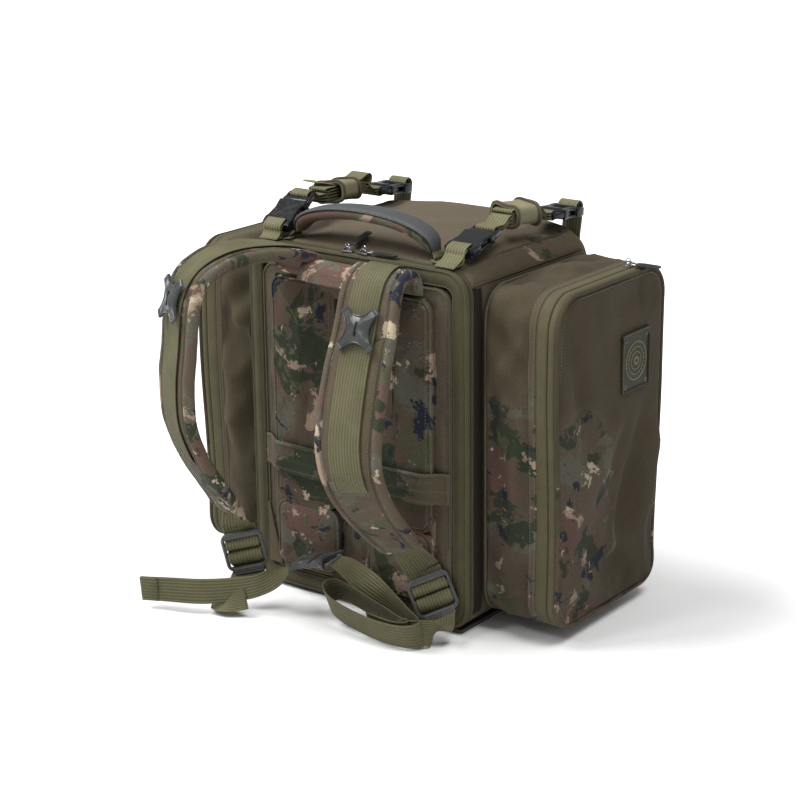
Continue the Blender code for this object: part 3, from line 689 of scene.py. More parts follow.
def make_tape(name, light, dark):
    """Zip and binding tape: fine ribs along its length, a little uneven."""
    g = Graph(name, 0.78, Sheen_Weight=0.03, Sheen_Roughness=0.4, Specular_IOR_Level=0.2)
    uv = g.uv()
    rib = g.math("SINE", g.math("MULTIPLY", uv[0], 2 * math.pi / 0.0016))
    pick = g.math("SINE", g.math("MULTIPLY", uv[1], 2 * math.pi / 0.0013))
    tone = g.math("ADD", g.math("MULTIPLY", rib, 0.22), g.between(g.noise(40, 3.0), 0.3, 0.7, 0.2, 0.8))
    colour = g.shade(g.mix(tone, dark, light), g.between(g.noise(700, 1.0), 0.3, 0.7, 0.92, 1.08))
    height = g.math("ADD", g.math("MULTIPLY", rib, 0.5), g.math("MULTIPLY", pick, 0.3))
    g.finish(colour, height, 0.0002, 0.6)


def make_plastic(name, tone, rough, grain=900, gloss=0.32):
    g = Graph(name, rough, Specular_IOR_Level=gloss)
    worn = g.edges(0.52, 0.64)
    colour = g.mix(g.noise(60, 4.0), tone, tuple(c * 1.3 for c in tone))
    colour = g.mix(g.math("MULTIPLY", worn, 0.30), colour, tuple(min(1.0, c * 2.6 + 0.012) for c in tone))
    speck = g.noise(grain, 2.0)
    roughness = g.between(g.noise(140, 3.0), 0.3, 0.7, rough - 0.08, rough + 0.10)
    g.finish(colour, speck, 0.00012, 0.4, roughness)


def make_metal():
    g = Graph("metal", 0.28, 1.0)
    colour = g.mix(g.noise(300, 3.0), (0.40, 0.40, 0.41), (0.26, 0.26, 0.27))
    streak = g.between(g.noise(1500, 2.0), 0.3, 0.7, 0.2, 0.38)
    g.finish(colour, g.noise(1200, 2.0), 0.00005, 0.3, streak)


def make_thread():
    g = Graph("thread", 0.6, Sheen_Weight=0.2)
    colour = g.mix(g.noise(500, 1.0), (0.070, 0.062, 0.040), (0.100, 0.090, 0.058))
    g.finish(colour, g.noise(2500, 1.0), 0.0001, 0.5)


def make_rubber(name, tone, gloss=0.4):
    g = Graph(name, 0.62, Specular_IOR_Level=gloss)
    colour = g.mix(g.noise(45, 4.0), tone, tuple(c * 1.5 for c in tone))
    worn = g.edges(0.50, 0.60)
    colour = g.mix(g.math("MULTIPLY", worn, 0.4), colour, tuple(c * 2.4 for c in tone))
    dots = g.node("TexVoronoi", {"Vector": g.objects(), "Scale": 620.0}).outputs["Distance"]
    g.finish(colour, dots, 0.0002, 0.5)


def make_materials():
    cloth("cloth", (0.082, 0.066, 0.043), (0.066, 0.053, 0.034))
    # A lighter copy of cloth for the bag's top faces: painted light, standing in for the stronger light
    # falling on the top
    cloth("painted_lit_top_cloth", (0.098, 0.079, 0.055), (0.082, 0.066, 0.045))
    cloth("panel_cloth", (0.104, 0.085, 0.060), (0.088, 0.071, 0.050))
    # A darker copy of cloth for the pocket shells: painted shade for the pockets' dimmer light; its print is
    # darker, with fewer pale flecks
    cloth("pocket_cloth", (0.060, 0.049, 0.030), (0.046, 0.037, 0.023), ink=0.74, fewer=0.024)
    # A darker copy of cloth for the doors: painted shade for their sides facing away from the light; its
    # print is darker, with fewer pale flecks. The welts use it too
    cloth("door_cloth", (0.050, 0.040, 0.026), (0.038, 0.030, 0.019), pitch=0.0013, ink=0.76, fewer=0.016)
    # A near-black copy of cloth: painted shade for the bag's sides in the narrow gap behind the pocket fronts
    cloth("painted_shade_cloth", (0.016, 0.013, 0.009), (0.012, 0.010, 0.007))
    cloth("lining", (0.040, 0.036, 0.029), (0.028, 0.026, 0.021), sheen=0.05, printed=False)
    make_webbing("webbing", (0.122, 0.113, 0.060), (0.062, 0.058, 0.029), WEB_W, WEB_RIBS)
    make_webbing("waist_webbing", (0.116, 0.108, 0.057), (0.058, 0.054, 0.027), WAIST_WEB, WAIST_RIBS)
    make_webbing("top_webbing", (0.168, 0.157, 0.086), (0.078, 0.072, 0.038), TOP_WEB, TOP_RIBS)
    make_tape("tape", (0.080, 0.071, 0.038), (0.061, 0.054, 0.028))
    make_tape("dark_tape", (0.066, 0.059, 0.031), (0.050, 0.044, 0.023))
    make_tape("binding", (0.080, 0.070, 0.042), (0.060, 0.052, 0.031))
    make_tape("keeper", (0.190, 0.175, 0.108), (0.152, 0.140, 0.084))
    make_plastic("star_plastic", (0.034, 0.037, 0.036), 0.30)
    make_plastic("grey_plastic", (0.052, 0.053, 0.050), 0.34)
    make_plastic("black_plastic", (0.006, 0.007, 0.008), 0.24, gloss=0.22)
    make_plastic("pull_plastic", (0.018, 0.020, 0.018), 0.5)
    make_plastic("grip", (0.042, 0.043, 0.045), 0.66, 1600)
    make_metal()
    make_thread()
    make_rubber("rubber", (0.030, 0.030, 0.024))
    make_rubber("badge", (0.016, 0.016, 0.010), 0.2)
    make_rubber("badge_lines", (0.058, 0.056, 0.034), 0.2)
    make_rubber("board", (0.020, 0.020, 0.020))


# ---------------------------------------------------------------- main bag


def top_crown(x, y):
    rise = np.clip((y - FRONT_Y - FRAME_T) / 0.09, 0, 1)
    fall = 1.0 - 0.25 * np.clip(y / BACK_Y, 0, 1)
    return CROWN * np.maximum(0.0, 1 - (x / HALF_W) ** 2) * np.sin(rise * math.pi / 2) * fall


def bag_print(p):
    """The printed pattern fades in down the back panel, and shows a little on the right trim strip."""
    x, y, z = p.T
    strip = 0.52 * (x > HALF_W - BODY_CORNER * 0.95) * ease(0.375, 0.385, z) * ease(-0.05, 0.03, y)
    return np.where(y > BACK_Y - 0.02, 1.15 - z * 3.2, strip)


def main_bag():
    outline, normals = rounded(-HALF_W, HALF_W, BODY_Z0, BODY_Z1, BODY_CORNER, 0.0060, 8)
    front = FRONT_Y + FRAME_T + 0.0004
    edge = 0.012
    stations = [(y, 0.0) for y in np.arange(front, BACK_Y - edge, 0.0075)]
    for k in range(5):
        angle = math.pi / 2 * k / 4
        stations.append((BACK_Y - edge + edge * math.sin(angle), edge * (1 - math.cos(angle))))
    rows = []
    for y, inset in stations:
        xz = outline - normals * inset
        rows.append(at_y(xz, y))
    middle = np.array([0.0, BACK_Y, (BODY_Z0 + BODY_Z1) / 2])
    last = rows[-1]
    for s in (0.93, 0.82, 0.68, 0.52, 0.36, 0.20, 0.07):
        ring = middle + (last - middle) * s
        ring[:, 1] = BACK_Y + 0.0035 * (1 - s**2)
        rows.append(ring)
    rows = np.array(rows)
    top = ease(BODY_Z1 - 0.05, BODY_Z1 - 0.01, rows[..., 2]) * (rows[..., 1] < BACK_Y - 0.001)
    back = 1 - ease(BACK_Y - edge, BACK_Y, rows[..., 1])
    rows[..., 2] += top_crown(rows[..., 0], rows[..., 1]) * top * np.maximum(back, 0.0)
    high = rows[..., 2] > 0.385
    wave = folds(rows, TOP_FOLDS) + 0.0012 * ripple(rows, 22, 1)
    rows[..., 2] += high * (wave + 0.0012 * crease(rows * np.array([0.7, 1.3, 1.0]), 14, 2))
    rear = rows[..., 1] > BACK_Y - 0.002
    rows[..., 1] += rear * 0.0012 * ripple(rows, 18, 2)
    bag = skin("bag_cloth", rows, "cloth", "bag", caps=(-1,), replaces=["main_shell"], slot="plain_cloth")
    paint(bag, bag_print)
    for extra in ("painted_lit_top_cloth", "painted_shade_cloth"):
        bag.data.materials.append(MATS[extra])
    inner_x = HALF_W - BODY_CORNER * 0.62
    for face in bag.data.polygons:
        at = face.center
        # Upward faces of the top take the lighter copy, as painted light
        if at.z > BODY_Z1 - 0.010 and abs(at.x) < inner_x and face.normal.z > 0.5:
            face.material_index = 1
        # Side faces in the gap between the zip strip and the pocket fronts take the near-black copy, as
        # painted shade
        elif abs(at.x) > HALF_W - 0.002 and at.y < POCKET_Y0 + 0.004 and at.z < POCKET_Z1:
            face.material_index = 2
    thicken(bag, 0.003, lined=True)

    heap = Heap("bag_seam_thread", "thread", "bag")
    for side, sign in SIDES.items():
        for name, angle in (("upper", 68), ("lower", 24)):
            turn = math.radians(angle)
            x = sign * (HALF_W - BODY_CORNER + (BODY_CORNER + 0.0006) * math.cos(turn))
            z = BODY_Z1 - BODY_CORNER + (BODY_CORNER + 0.0006) * math.sin(turn)
            ys = np.arange(front + 0.002, BACK_Y - 0.012, 0.006)
            line = at_x(np.column_stack([ys, z + top_crown(x, ys) * 0.6]), x)
            welt = tube(f"{side}_{name}_welt", line, 0.0017, "door_cloth", "bag")
            paint(welt, 0.0)
            lean = turn - 0.12 * (1 if name == "upper" else -1)
            off = np.array([sign * math.cos(lean), 0, math.sin(turn)]) * 0.0006
            heap.stitches(line + off + [sign * 0.0026, 0, -0.0016], [sign * 0.5, 0, 0.85])
    heap.done()

    edge_ring, edge_normals = rounded(-HALF_W, HALF_W, BODY_Z0, BODY_Z1, BODY_CORNER, 0.0075, 8)
    line = at_y(edge_ring - edge_normals * 0.0035, BACK_Y - 0.0042)
    tube("back_edge_welt", line, 0.0018, "binding", "bag", closed=True)


def ring_strip(name, outline, normals, profile, mat, body, place, **how):
    """Sweeps (depth in from the edge, second coordinate) pairs round an outline."""
    rows = np.array([[place(p - n * d, w) for d, w in profile] for p, n in zip(outline, normals)])
    us = arc_length(np.array([(d, w, 0.0) for d, w in [*profile, profile[0]]]))
    return skin(name, rows, mat, body, loop=True, us=us, **how)


def zip_frame():
    outline, normals = rounded(-HALF_W, HALF_W, BODY_Z0, BODY_Z1, BODY_CORNER, 0.0075, 9)
    back, face = FRONT_Y + FRAME_T, FRONT_Y
    # (depth in from the edge, y) round the strip: cord, groove, then the flat tape
    profile = [(0.0, back), (-0.0004, back - 0.003), (0.0003, back - 0.0052), (-0.0004, back - 0.0072),
               (0.0003, face + 0.0018), (0.0016, face + 0.0004), (0.0036, face), (0.0046, face + 0.0009),
               (0.0056, face), (0.0100, face - 0.0007), (0.0150, face - 0.0005), (0.0166, face + 0.0008),
               (0.0176, face), (0.0190, face + 0.0006), (0.0196, face + 0.0022), (0.0196, back)]

    def place(p, w):
        return (p[0], w, p[1])

    ring_strip("main_zip_strip", outline, normals, profile, "dark_tape", "bag", place, sharp=None,
               replaces=["main_zip_frame"], slot="binding_tape")
    heap = Heap("main_strip_thread", "thread", "bag")
    for depth, y in ((0.0026, face - 0.0001), (0.0178, face)):
        heap.stitch_ring(outline, normals, depth, y)
    heap.done()
    coil = Heap("main_zip_coil", "black_plastic", "bag")
    xz = outline + normals * 0.0001
    line = at_y(xz, FRONT_Y + 0.0053)
    coil.stitches(line, np.stack([normals[:, 0], 0 * normals[:, 0], normals[:, 1]], axis=1), pitch=COIL_PITCH,
                  length=COIL_LENGTH, radius=0.0007, lift=0.0, closed=True)
    coil.done()


# ---------------------------------------------------------------- side pockets

# Folds of the right pocket; the left one has them mirrored
GUSSET_FOLDS = (
    ((0.155, -0.093, 0.352), (0.200, -0.093, 0.300), 0.011, -0.0042),
    ((0.152, -0.093, 0.270), (0.205, -0.093, 0.335), 0.010, 0.0036),
    ((0.158, -0.093, 0.180), (0.168, -0.093, 0.290), 0.009, -0.0036),
    ((0.198, -0.093, 0.250), (0.180, -0.093, 0.110), 0.011, 0.0042),
    ((0.155, -0.093, 0.120), (0.172, -0.093, 0.035), 0.010, -0.0036),
    ((0.155, -0.060, 0.380), (0.200, -0.020, 0.380), 0.010, -0.0036),
    ((0.158, -0.005, 0.380), (0.202, 0.035, 0.380), 0.010, 0.0034),
    ((0.154, 0.045, 0.380), (0.198, 0.095, 0.380), 0.011, -0.0034),
    ((0.202, -0.070, 0.380), (0.160, -0.088, 0.372), 0.009, 0.0034),
)
DOOR_FOLDS = (
    ((0.2400, 0.030, 0.240), (0.2400, -0.062, 0.140), 0.016, 0.0052),
    ((0.2400, 0.082, 0.245), (0.2400, 0.020, 0.070), 0.014, -0.0048),
    ((0.2400, 0.104, 0.190), (0.2400, 0.060, 0.040), 0.015, 0.0056),
    ((0.2400, -0.072, 0.330), (0.2400, -0.030, 0.190), 0.014, -0.0036),
    ((0.2400, -0.010, 0.100), (0.2400, 0.088, 0.058), 0.013, 0.0040),
    ((0.2400, -0.080, 0.070), (0.2400, -0.005, 0.036), 0.012, 0.0036),
    ((0.2400, 0.000, 0.350), (0.2400, 0.090, 0.345), 0.014, -0.0030),
)
TOP_FOLDS = (
    ((-0.100, -0.050, 0.408), (0.020, 0.030, 0.416), 0.018, -0.0030),
    ((0.000, -0.060, 0.414), (0.080, 0.070, 0.410), 0.016, 0.0026),
    ((-0.050, 0.020, 0.416), (-0.105, 0.095, 0.406), 0.016, -0.0026),
    ((0.060, -0.070, 0.410), (0.095, 0.010, 0.408), 0.013, -0.0022),
)
MIRROR = {1: np.array([1, 1, 1]), -1: np.array([-1, 1, 1])}
# How far a pocket bellies out, its low back corner draws in, and its front and back edges lean
BELLY, DRAW_IN, LEAN = 0.0012, 0.0085, 0.0030


def slump(name):
    """Lets a pocket's piece sag: the door side bellies out and the low back corner draws in."""
    mesh = bpy.data.objects[name].data
    co = coords(mesh)
    x, y, z = co.T
    outward = np.clip((np.abs(x) - POCKET_X0) / (DOOR_X1 - POCKET_X0), 0, 1.1)
    height = np.clip((z - POCKET_Z0) / (POCKET_Z1 - 0.020 - POCKET_Z0), 0, 1)
    belly = np.sin(math.pi * height)
    back = ease(-0.02, POCKET_Y1, y)
    co[:, 0] += np.sign(x) * BELLY * belly**2 * outward
    co[:, 1] -= outward * back * (DRAW_IN * ease(0.26, 0.05, z) * ease(POCKET_Z0, 0.06, z) + LEAN * belly)
    co[:, 1] += outward * (1 - back) * LEAN * np.sin(2 * math.pi * height)
    if "door" in name or "badge" in name:
        # Lowered flat, the door rests on the ground, so no fold of it reaches past this.
        spare = FOLD_X + FOLD_Z + GROUND_SLOPE * (z - FOLD_Z) - GROUND_GAP - np.abs(co[:, 0])
        co[:, 0] += np.sign(x) * (spare - 0.5 * (spare + np.sqrt(spare**2 + GROUND_EASE**2)))
    mesh.vertices.foreach_set("co", co.ravel())
    mesh.update()


def pocket(side, sign):
    """A side pocket: gusset, hem, zip tape and coil, and its door."""
    outline, normals = rounded(POCKET_Y0, POCKET_Y1, POCKET_Z0, POCKET_Z1, POCKET_CORNER, 0.0050, 10)
    depth = GUSSET_X1 - POCKET_X0
    rows = []
    upright = np.abs(normals[:, 0])
    middle = np.array([(POCKET_Y0 + POCKET_Y1) / 2, (POCKET_Z0 + POCKET_Z1) / 2])
    for s in (0.05, 0.35, 0.7, 0.95):
        yz = middle + (outline - normals * 0.010 - middle) * s
        rows.append(at_x(yz, sign * POCKET_X0))
    for t in (0.0, 0.02, 0.05, 0.09, 0.14, 0.22, 0.31, 0.41, 0.52, 0.63, 0.73, 0.82, 0.90, 0.96, 1.0):
        inset = 0.010 * (1 - ease(0, 0.10, t)) + 0.0016 * (1 - ease(0.09, 0.13, t)) * ease(0.04, 0.09, t)
        puff = 0.0042 * math.sin(math.pi * np.clip((t - 0.09) / 0.91, 0, 1)) ** 0.9
        amount = inset - puff * (0.45 + 0.55 * upright) * (outline[:, 1] > 0.05)
        yz = outline - normals * amount[:, None]
        rows.append(at_x(yz, sign * (POCKET_X0 + depth * t)))
    rows = np.array(rows)
    out_by = (np.abs(rows[..., 0]) - POCKET_X0) / depth
    inner = ease(0.0, 0.25, out_by)
    ends = 1 - ease(0.9, 1.0, out_by)
    stretch = rows * np.array([1.0, 1.0, 0.55])
    wave = 0.0036 * ripple(stretch, 17, 3 + sign) + 0.0012 * ripple(rows, 50, 5 + sign)
    wave += (0.0026 * crease(rows * np.array([1.8, 1.0, 0.8]), 19, 7 + sign)
             + 1.5 * folds(rows * MIRROR[sign], GUSSET_FOLDS))
    wave *= inner * ends * (1.0 if sign > 0 else 1.5)
    out = np.concatenate([np.zeros_like(normals[:, :1]), normals], axis=1)
    rows += out[None] * wave[..., None]
    # The shell's pocket_cloth is darker than cloth as painted shade
    shell = skin(f"{side}_pocket_cloth", rows, "pocket_cloth", "bag", caps=(),
                 replaces=[f"{side}_pocket_shell"], slot="camo_cloth")
    close_ring(shell, 0, rows.shape[1])

    def printed(p):
        """The print fades up both gussets, and on the right one also towards the back; the top is plain."""
        if sign < 0:
            return 0.12 + 0.5 * (1 - ease(0.02, 0.16, p[:, 2]))
        height = p[:, 2] + 0.2 * np.maximum(0, p[:, 1] - 0.05)
        return np.where(p[:, 2] > 0.365, 0.02, 0.02 + 0.95 * (1 - ease(0.19, 0.35, height)))

    paint(shell, printed)
    thicken(shell, 0.0028, lined=True)
    yz = outline - normals * 0.0012
    line = at_x(yz, sign * (POCKET_X0 + 0.0048))
    tube(f"{side}_pocket_welt", line, 0.0017, "binding", "bag", closed=True)

    def place(p, w):
        return (sign * w, p[0], p[1])

    hem = [(0.0034, GUSSET_X1 - 0.0030), (0.0002, GUSSET_X1 - 0.0028), (-0.0012, GUSSET_X1 - 0.0014),
           (-0.0014, GUSSET_X1 + 0.0006), (-0.0006, TAPE_X0 + 0.0020), (-0.0013, TAPE_X0 + 0.0034),
           (-0.0013, TAPE_X0 + 0.0050), (0.0002, TAPE_X0 + 0.0062), (0.0034, TAPE_X0 + 0.0062)]
    made = ring_strip(f"{side}_pocket_hem", outline, normals, hem, "cloth", "bag", place, sharp=None)
    paint(made, lambda p: 0.85 * (1 - ease(0.26, 0.33, p[:, 2])) if sign > 0 else 0.1)
    tape = [(0.0040, TAPE_X0 + 0.0030), (0.0004, TAPE_X0 + 0.0058), (-0.0006, TAPE_X0 + 0.0075),
            (-0.0010, TAPE_X0 + 0.0120), (-0.0010, TAPE_X0 + 0.0165), (-0.0012, TAPE_X1 - 0.0012),
            (-0.0003, TAPE_X1 - 0.0003), (0.0016, TAPE_X1), (0.0058, TAPE_X1), (0.0058, TAPE_X0 + 0.0030)]
    ring_strip(f"{side}_pocket_tape", outline, normals, tape, "tape", "bag", place, sharp=None,
               replaces=[f"{side}_pocket_zip"], slot="binding_tape")
    thread = Heap(f"{side}_pocket_thread", "thread", "bag")
    out3 = np.stack([0 * normals[:, 0], normals[:, 0], normals[:, 1]], axis=1)
    for x, lift in ((GUSSET_X1 - 0.0005, 0.0015), (TAPE_X0 + 0.0072, 0.0008)):
        yz = outline + normals * lift
        thread.stitches(at_x(yz, sign * x), out3, closed=True)
    thread.done()
    coil = Heap(f"{side}_zip_coil", "black_plastic", "bag")
    yz = outline - normals * 0.0010
    coil.stitches(at_x(yz, sign * (TAPE_X1 - 0.0002)), out3,
                  pitch=COIL_PITCH, length=COIL_LENGTH, radius=0.0006, closed=True)
    coil.done()
    pocket_door(side, sign, outline, normals, middle, place)
    for piece in ("pocket_cloth", "pocket_welt", "pocket_hem", "pocket_tape", "pocket_thread", "zip_coil",
                  "door_tape", "door_cloth", "door_welt", "door_thread"):
        slump(f"{side}_{piece}")


def pocket_door(side, sign, outline, normals, middle, place):
    """The outer door: its zip tape, its padded face with a welt round it, and the stitching."""
    body = f"{side}_pocket_door"
    rows = []
    rim = [(0.0040, DOOR_X0), (0.0006, DOOR_X0), (-0.0004, DOOR_X0 + 0.0006), (-0.0010, DOOR_X0 + 0.0030),
           (-0.0008, DOOR_X0 + 0.0062), (0.0006, DOOR_X0 + 0.0080), (0.0016, DOOR_X1 - 0.0012),
           (0.0046, DOOR_X1 - 0.0012)]
    ring_strip(f"{side}_door_tape", outline, normals, rim, "tape", body, place, sharp=None)
    x_of = DOOR_X1 + 0.0004
    turned_in = ((-0.0070, 0.0042), (-0.0040, 0.0036), (-0.0012, 0.0030), (0.0004, 0.0042), (0.0012, 0.0068))
    for t, inset in turned_in:
        yz = outline - normals * inset
        rows.append(at_x(yz, sign * (x_of + t)))
    base = outline - normals * 0.0100
    for s in np.linspace(1.0, 0.03, 24):
        yz = middle + (base - middle) * s
        x = x_of + 0.0018 + 0.0022 * (1 - s**2)
        rows.append(at_x(yz, sign * x))
    rows = np.array(rows)
    y, z = rows[..., 1], rows[..., 2]
    face = np.zeros(rows.shape[:2])
    face[5:] = 1.0
    face[4] = 0.5
    from_badge = np.hypot((y - 0.054) / 0.05, (z - 0.285) / 0.055)
    calm = ease(0.8, 1.4, from_badge)
    stretch = rows * np.array([1.0, 1.3, 0.5])
    drape = 0.0040 * ripple(stretch, 11, 11 + sign) + 0.0010 * ripple(rows, 42, 13 + sign)
    slant = rows @ np.array([[1, 0, 0], [0, 0.9, 0.5], [0, -0.35, 0.45]]).T
    drape += 0.0010 * ripple(slant, 30, 15) + 0.0024 * crease(slant, 13, 19 + sign)
    drape += 1.7 * folds(rows * MIRROR[sign], DOOR_FOLDS)
    low = ease(0.12, 0.03, z)
    drape += low * (0.0018 * ripple(rows * np.array([1, 1, 2.2]), 34, 17))
    rows[..., 0] += sign * face * drape * (0.15 + 0.85 * calm)
    # The door's door_cloth is darker than cloth as painted shade
    door = skin(f"{side}_door_cloth", rows, "door_cloth", body, caps=(),
                replaces=[f"{side}_pocket_door"], slot="plain_cloth")
    close_ring(door, len(rows) - 1, rows.shape[1])
    if sign > 0:
        paint(door, lambda p: (0.98 * (1 - ease(-0.050, 0.066, p[:, 1]))
                               * (1 - 0.9 * ease(0.20, 0.30, p[:, 2]))))
    else:
        paint(door, lambda p: 0.9 * (1 - ease(0.05, 0.24, p[:, 2])))
    thicken(door, 0.0026, lined=True)
    yz = outline - normals * 0.0014
    line = at_x(yz, sign * (DOOR_X1 + 0.0004))
    welt = tube(f"{side}_door_welt", line, 0.0024, "door_cloth", body, closed=True, count=10)
    paint(welt, lambda p: 0.55 * (1 - ease(0.16, 0.26, p[:, 2])))
    thread = Heap(f"{side}_door_thread", "thread", body)
    yz = outline - normals * 0.0066
    thread.stitches(at_x(yz, sign * (x_of + 0.0013)),
                    [sign, 0, 0], closed=True)
    thread.done()


def close_ring(obj, number, width):
    """Closes the small hole inside one ring of a face made of rings."""
    bm = bmesh.new()
    bm.from_mesh(obj.data)
    bm.verts.ensure_lookup_table()
    bm.faces.new([bm.verts[number * width + k] for k in range(width)])
    bmesh.ops.recalc_face_normals(bm, faces=bm.faces)
    bm.to_mesh(obj.data)
    bm.free()
    obj.data.shade_smooth()


# ---------------------------------------------------------------- harness

# The panel's x and z limits and its corner radius, the y of its face, and the y the pads sit on
PANEL = (-0.1259, 0.1259, 0.0242, 0.3792, 0.0198)
PANEL_FACE = -0.1166
PAD_BASE = -0.1169
UP = (0.0, 0.0, 1.0)


def harness_panel():
    outline, normals = rounded(*PANEL, 0.0075, 7)
    middle = np.array([0.0, (PANEL[2] + PANEL[3]) / 2])
    rows = []
    for y, inset in ((-0.1068, 0.003), (-0.1071, 0.0008), (-0.1084, 0.0), (-0.1140, 0.0), (-0.1158, 0.0007),
                     (PANEL_FACE, 0.0026), (PANEL_FACE - 0.0004, 0.0060), (PANEL_FACE, 0.0072)):
        xz = outline - normals * inset
        rows.append(at_y(xz, y))
    base = outline - normals * 0.0084
    for s in (1.0, 0.94, 0.87, 0.79, 0.70, 0.60, 0.49, 0.37, 0.25, 0.13, 0.03):
        xz = middle + (base - middle) * s
        rows.append(at_y(xz, PANEL_FACE - 0.0004))
    rows = np.array(rows)
    rows[8:, :, 1] += 0.0008 * ripple(rows[8:], 34, 21)
    panel = skin("harness_panel_cloth", rows, "panel_cloth", "harness", replaces=["harness_panel"],
                 slot="plain_cloth")
    paint(panel, lambda p: 0.12 + 0.86 * (1 - ease(0.104, 0.110, np.abs(p[:, 0]))) * (p[:, 2] < 0.368))
    xz = outline - normals * 0.0022
    line = at_y(xz, PANEL_FACE - 0.0004)
    tube("harness_panel_welt", line, 0.0013, "binding", "harness", closed=True)
    thread = Heap("harness_panel_thread", "thread", "harness")
    for inset in (0.0048, 0.0084):
        thread.stitch_ring(outline, normals, inset, PANEL_FACE - 0.0005)
    thread.done()


def cushion(name, x0, x1, z0, z1, replaces, seams=()):
    """A foam pad on the panel: a crowned face with a welt round it and sewn channels across it."""
    radius = 0.014
    outline, normals = rounded(x0, x1, z0, z1, radius, 0.0060, 6)
    half = min(x1 - x0, z1 - z0) / 2
    spine_x = np.clip(outline[:, 0], x0 + half, x1 - half)
    spine_z = np.clip(outline[:, 1], z0 + half, z1 - half)
    spine = np.stack([spine_x, spine_z], axis=1)
    rows, held = [], []
    for out, inset, hold in ((0.0, 0.0010, 1), (0.0030, 0.0, 1), (0.0064, 0.0002, 1), (0.0080, 0.0012, 1),
                             (0.0096, 0.0024, 0.6), (0.0112, 0.0046, 0.1)):
        xz = outline - normals * inset
        rows.append(at_y(xz, PAD_BASE - out))
        held.append(hold)
    edge = outline - normals * 0.0046
    for s in (0.90, 0.80, 0.69, 0.57, 0.44, 0.31, 0.18, 0.06):
        xz = spine + (edge - spine) * s
        y = PAD_BASE - 0.0112 - 0.0022 * (1 - s * s) ** 0.6
        rows.append(at_y(xz, y))
        held.append(0.0)
    rows = np.array(rows)
    hold = np.repeat(np.array(held), len(outline)).reshape(rows.shape[:2])
    face = ease(0.009, 0.012, PAD_BASE - rows[..., 1])
    for z in seams:
        groove = np.exp(-(((rows[..., 2] - z) / 0.0035) ** 2)) * face
        rows[..., 1] += 0.0030 * groove
        hold = np.maximum(hold, groove)
    rows[..., 1] += 0.0005 * face * ripple(rows, 55, 31)
    pad = skin(name, rows, "cloth", "harness", replaces=replaces, slot="camo_cloth")
    paint(pad, 1.0)
    soft(pad, 0.0016, hold)
    xz = outline - normals * 0.0002
    line = at_y(xz, PAD_BASE - 0.0078)
    welt = tube(name + "_welt", line, 0.0017, "cloth", "harness", closed=True)
    paint(welt, 1.0)
    thread = Heap(name + "_thread", "thread", "harness")
    for z in seams:
        xs = np.arange(x0 + 0.008, x1 - 0.006, 0.004)
        line = np.stack([xs, np.full(len(xs), PAD_BASE - 0.0106), np.full(len(xs), z)], axis=1)
        thread.stitches(line, [0, -1, 0])
    thread.stitch_ring(outline, normals, 0.0040, PAD_BASE - 0.0110)
    thread.done()


def cross_pads():
    for side, sign in SIDES.items():
        x0, x1 = sorted((sign * 0.0212, sign * 0.1048))
        cushion(f"{side}_back_pad_cloth", x0, x1, 0.1122, 0.3658, [f"{side}_back_pad"], (0.236,))
        cushion(f"{side}_lumbar_pad_cloth", x0, x1, 0.0342, 0.1102, [f"{side}_lumbar_pad"])


def cross_band():
    """The sleeve for a trolley's handle: a doubled band over the back pads, sewn down at both ends."""
    xs = np.linspace(-0.1246, 0.1246, 64)
    reach = np.clip((np.abs(xs) - 0.094) / 0.030, 0, 1)
    y = -0.1352 + 0.0168 * ease(0, 1, reach)
    hang = 0.0012 * np.cos(xs / 0.1246 * math.pi / 2)
    zs = np.array([0.1465, 0.1472, 0.1500, 0.1512, 0.1560, 0.1605, 0.1625, 0.1635, 0.1660, 0.1720, 0.1776,
                   0.1788, 0.1800, 0.1810])
    lift = np.array([0.0, 0.0012, 0.0014, 0.0008, 0.0011, 0.0016, 0.0021, 0.0006, 0.0010, 0.0012, 0.0008,
                     0.0015, 0.0013, 0.0])
    rows = []
    for x, front, sag in zip(xs, y, hang):
        face = [(x, front - up, z - sag) for z, up in zip(zs, lift)]
        back = [(x, front + 0.0022, z - sag) for z in zs[::-1]]
        rows.append(face + back)
    rows = np.array(rows)
    rows[..., 1] += 0.0007 * ripple(rows * [1, 1, 3], 45, 41)
    band = skin("trolley_band_cloth", rows, "cloth", "harness", replaces=["trolley_band"], slot="plain_cloth",
                sharp=None)
    paint(band, lambda p: 1.0 - 0.95 * ease(0.094, 0.104, np.abs(p[:, 0])))
    thread = Heap("trolley_band_thread", "thread", "harness")
    for z in (0.1512, 0.1788):
        line = np.stack([xs, y - 0.0011, np.full(len(xs), z) - hang], axis=1)
        thread.stitches(line, [0, -1, 0])
    thread.done()


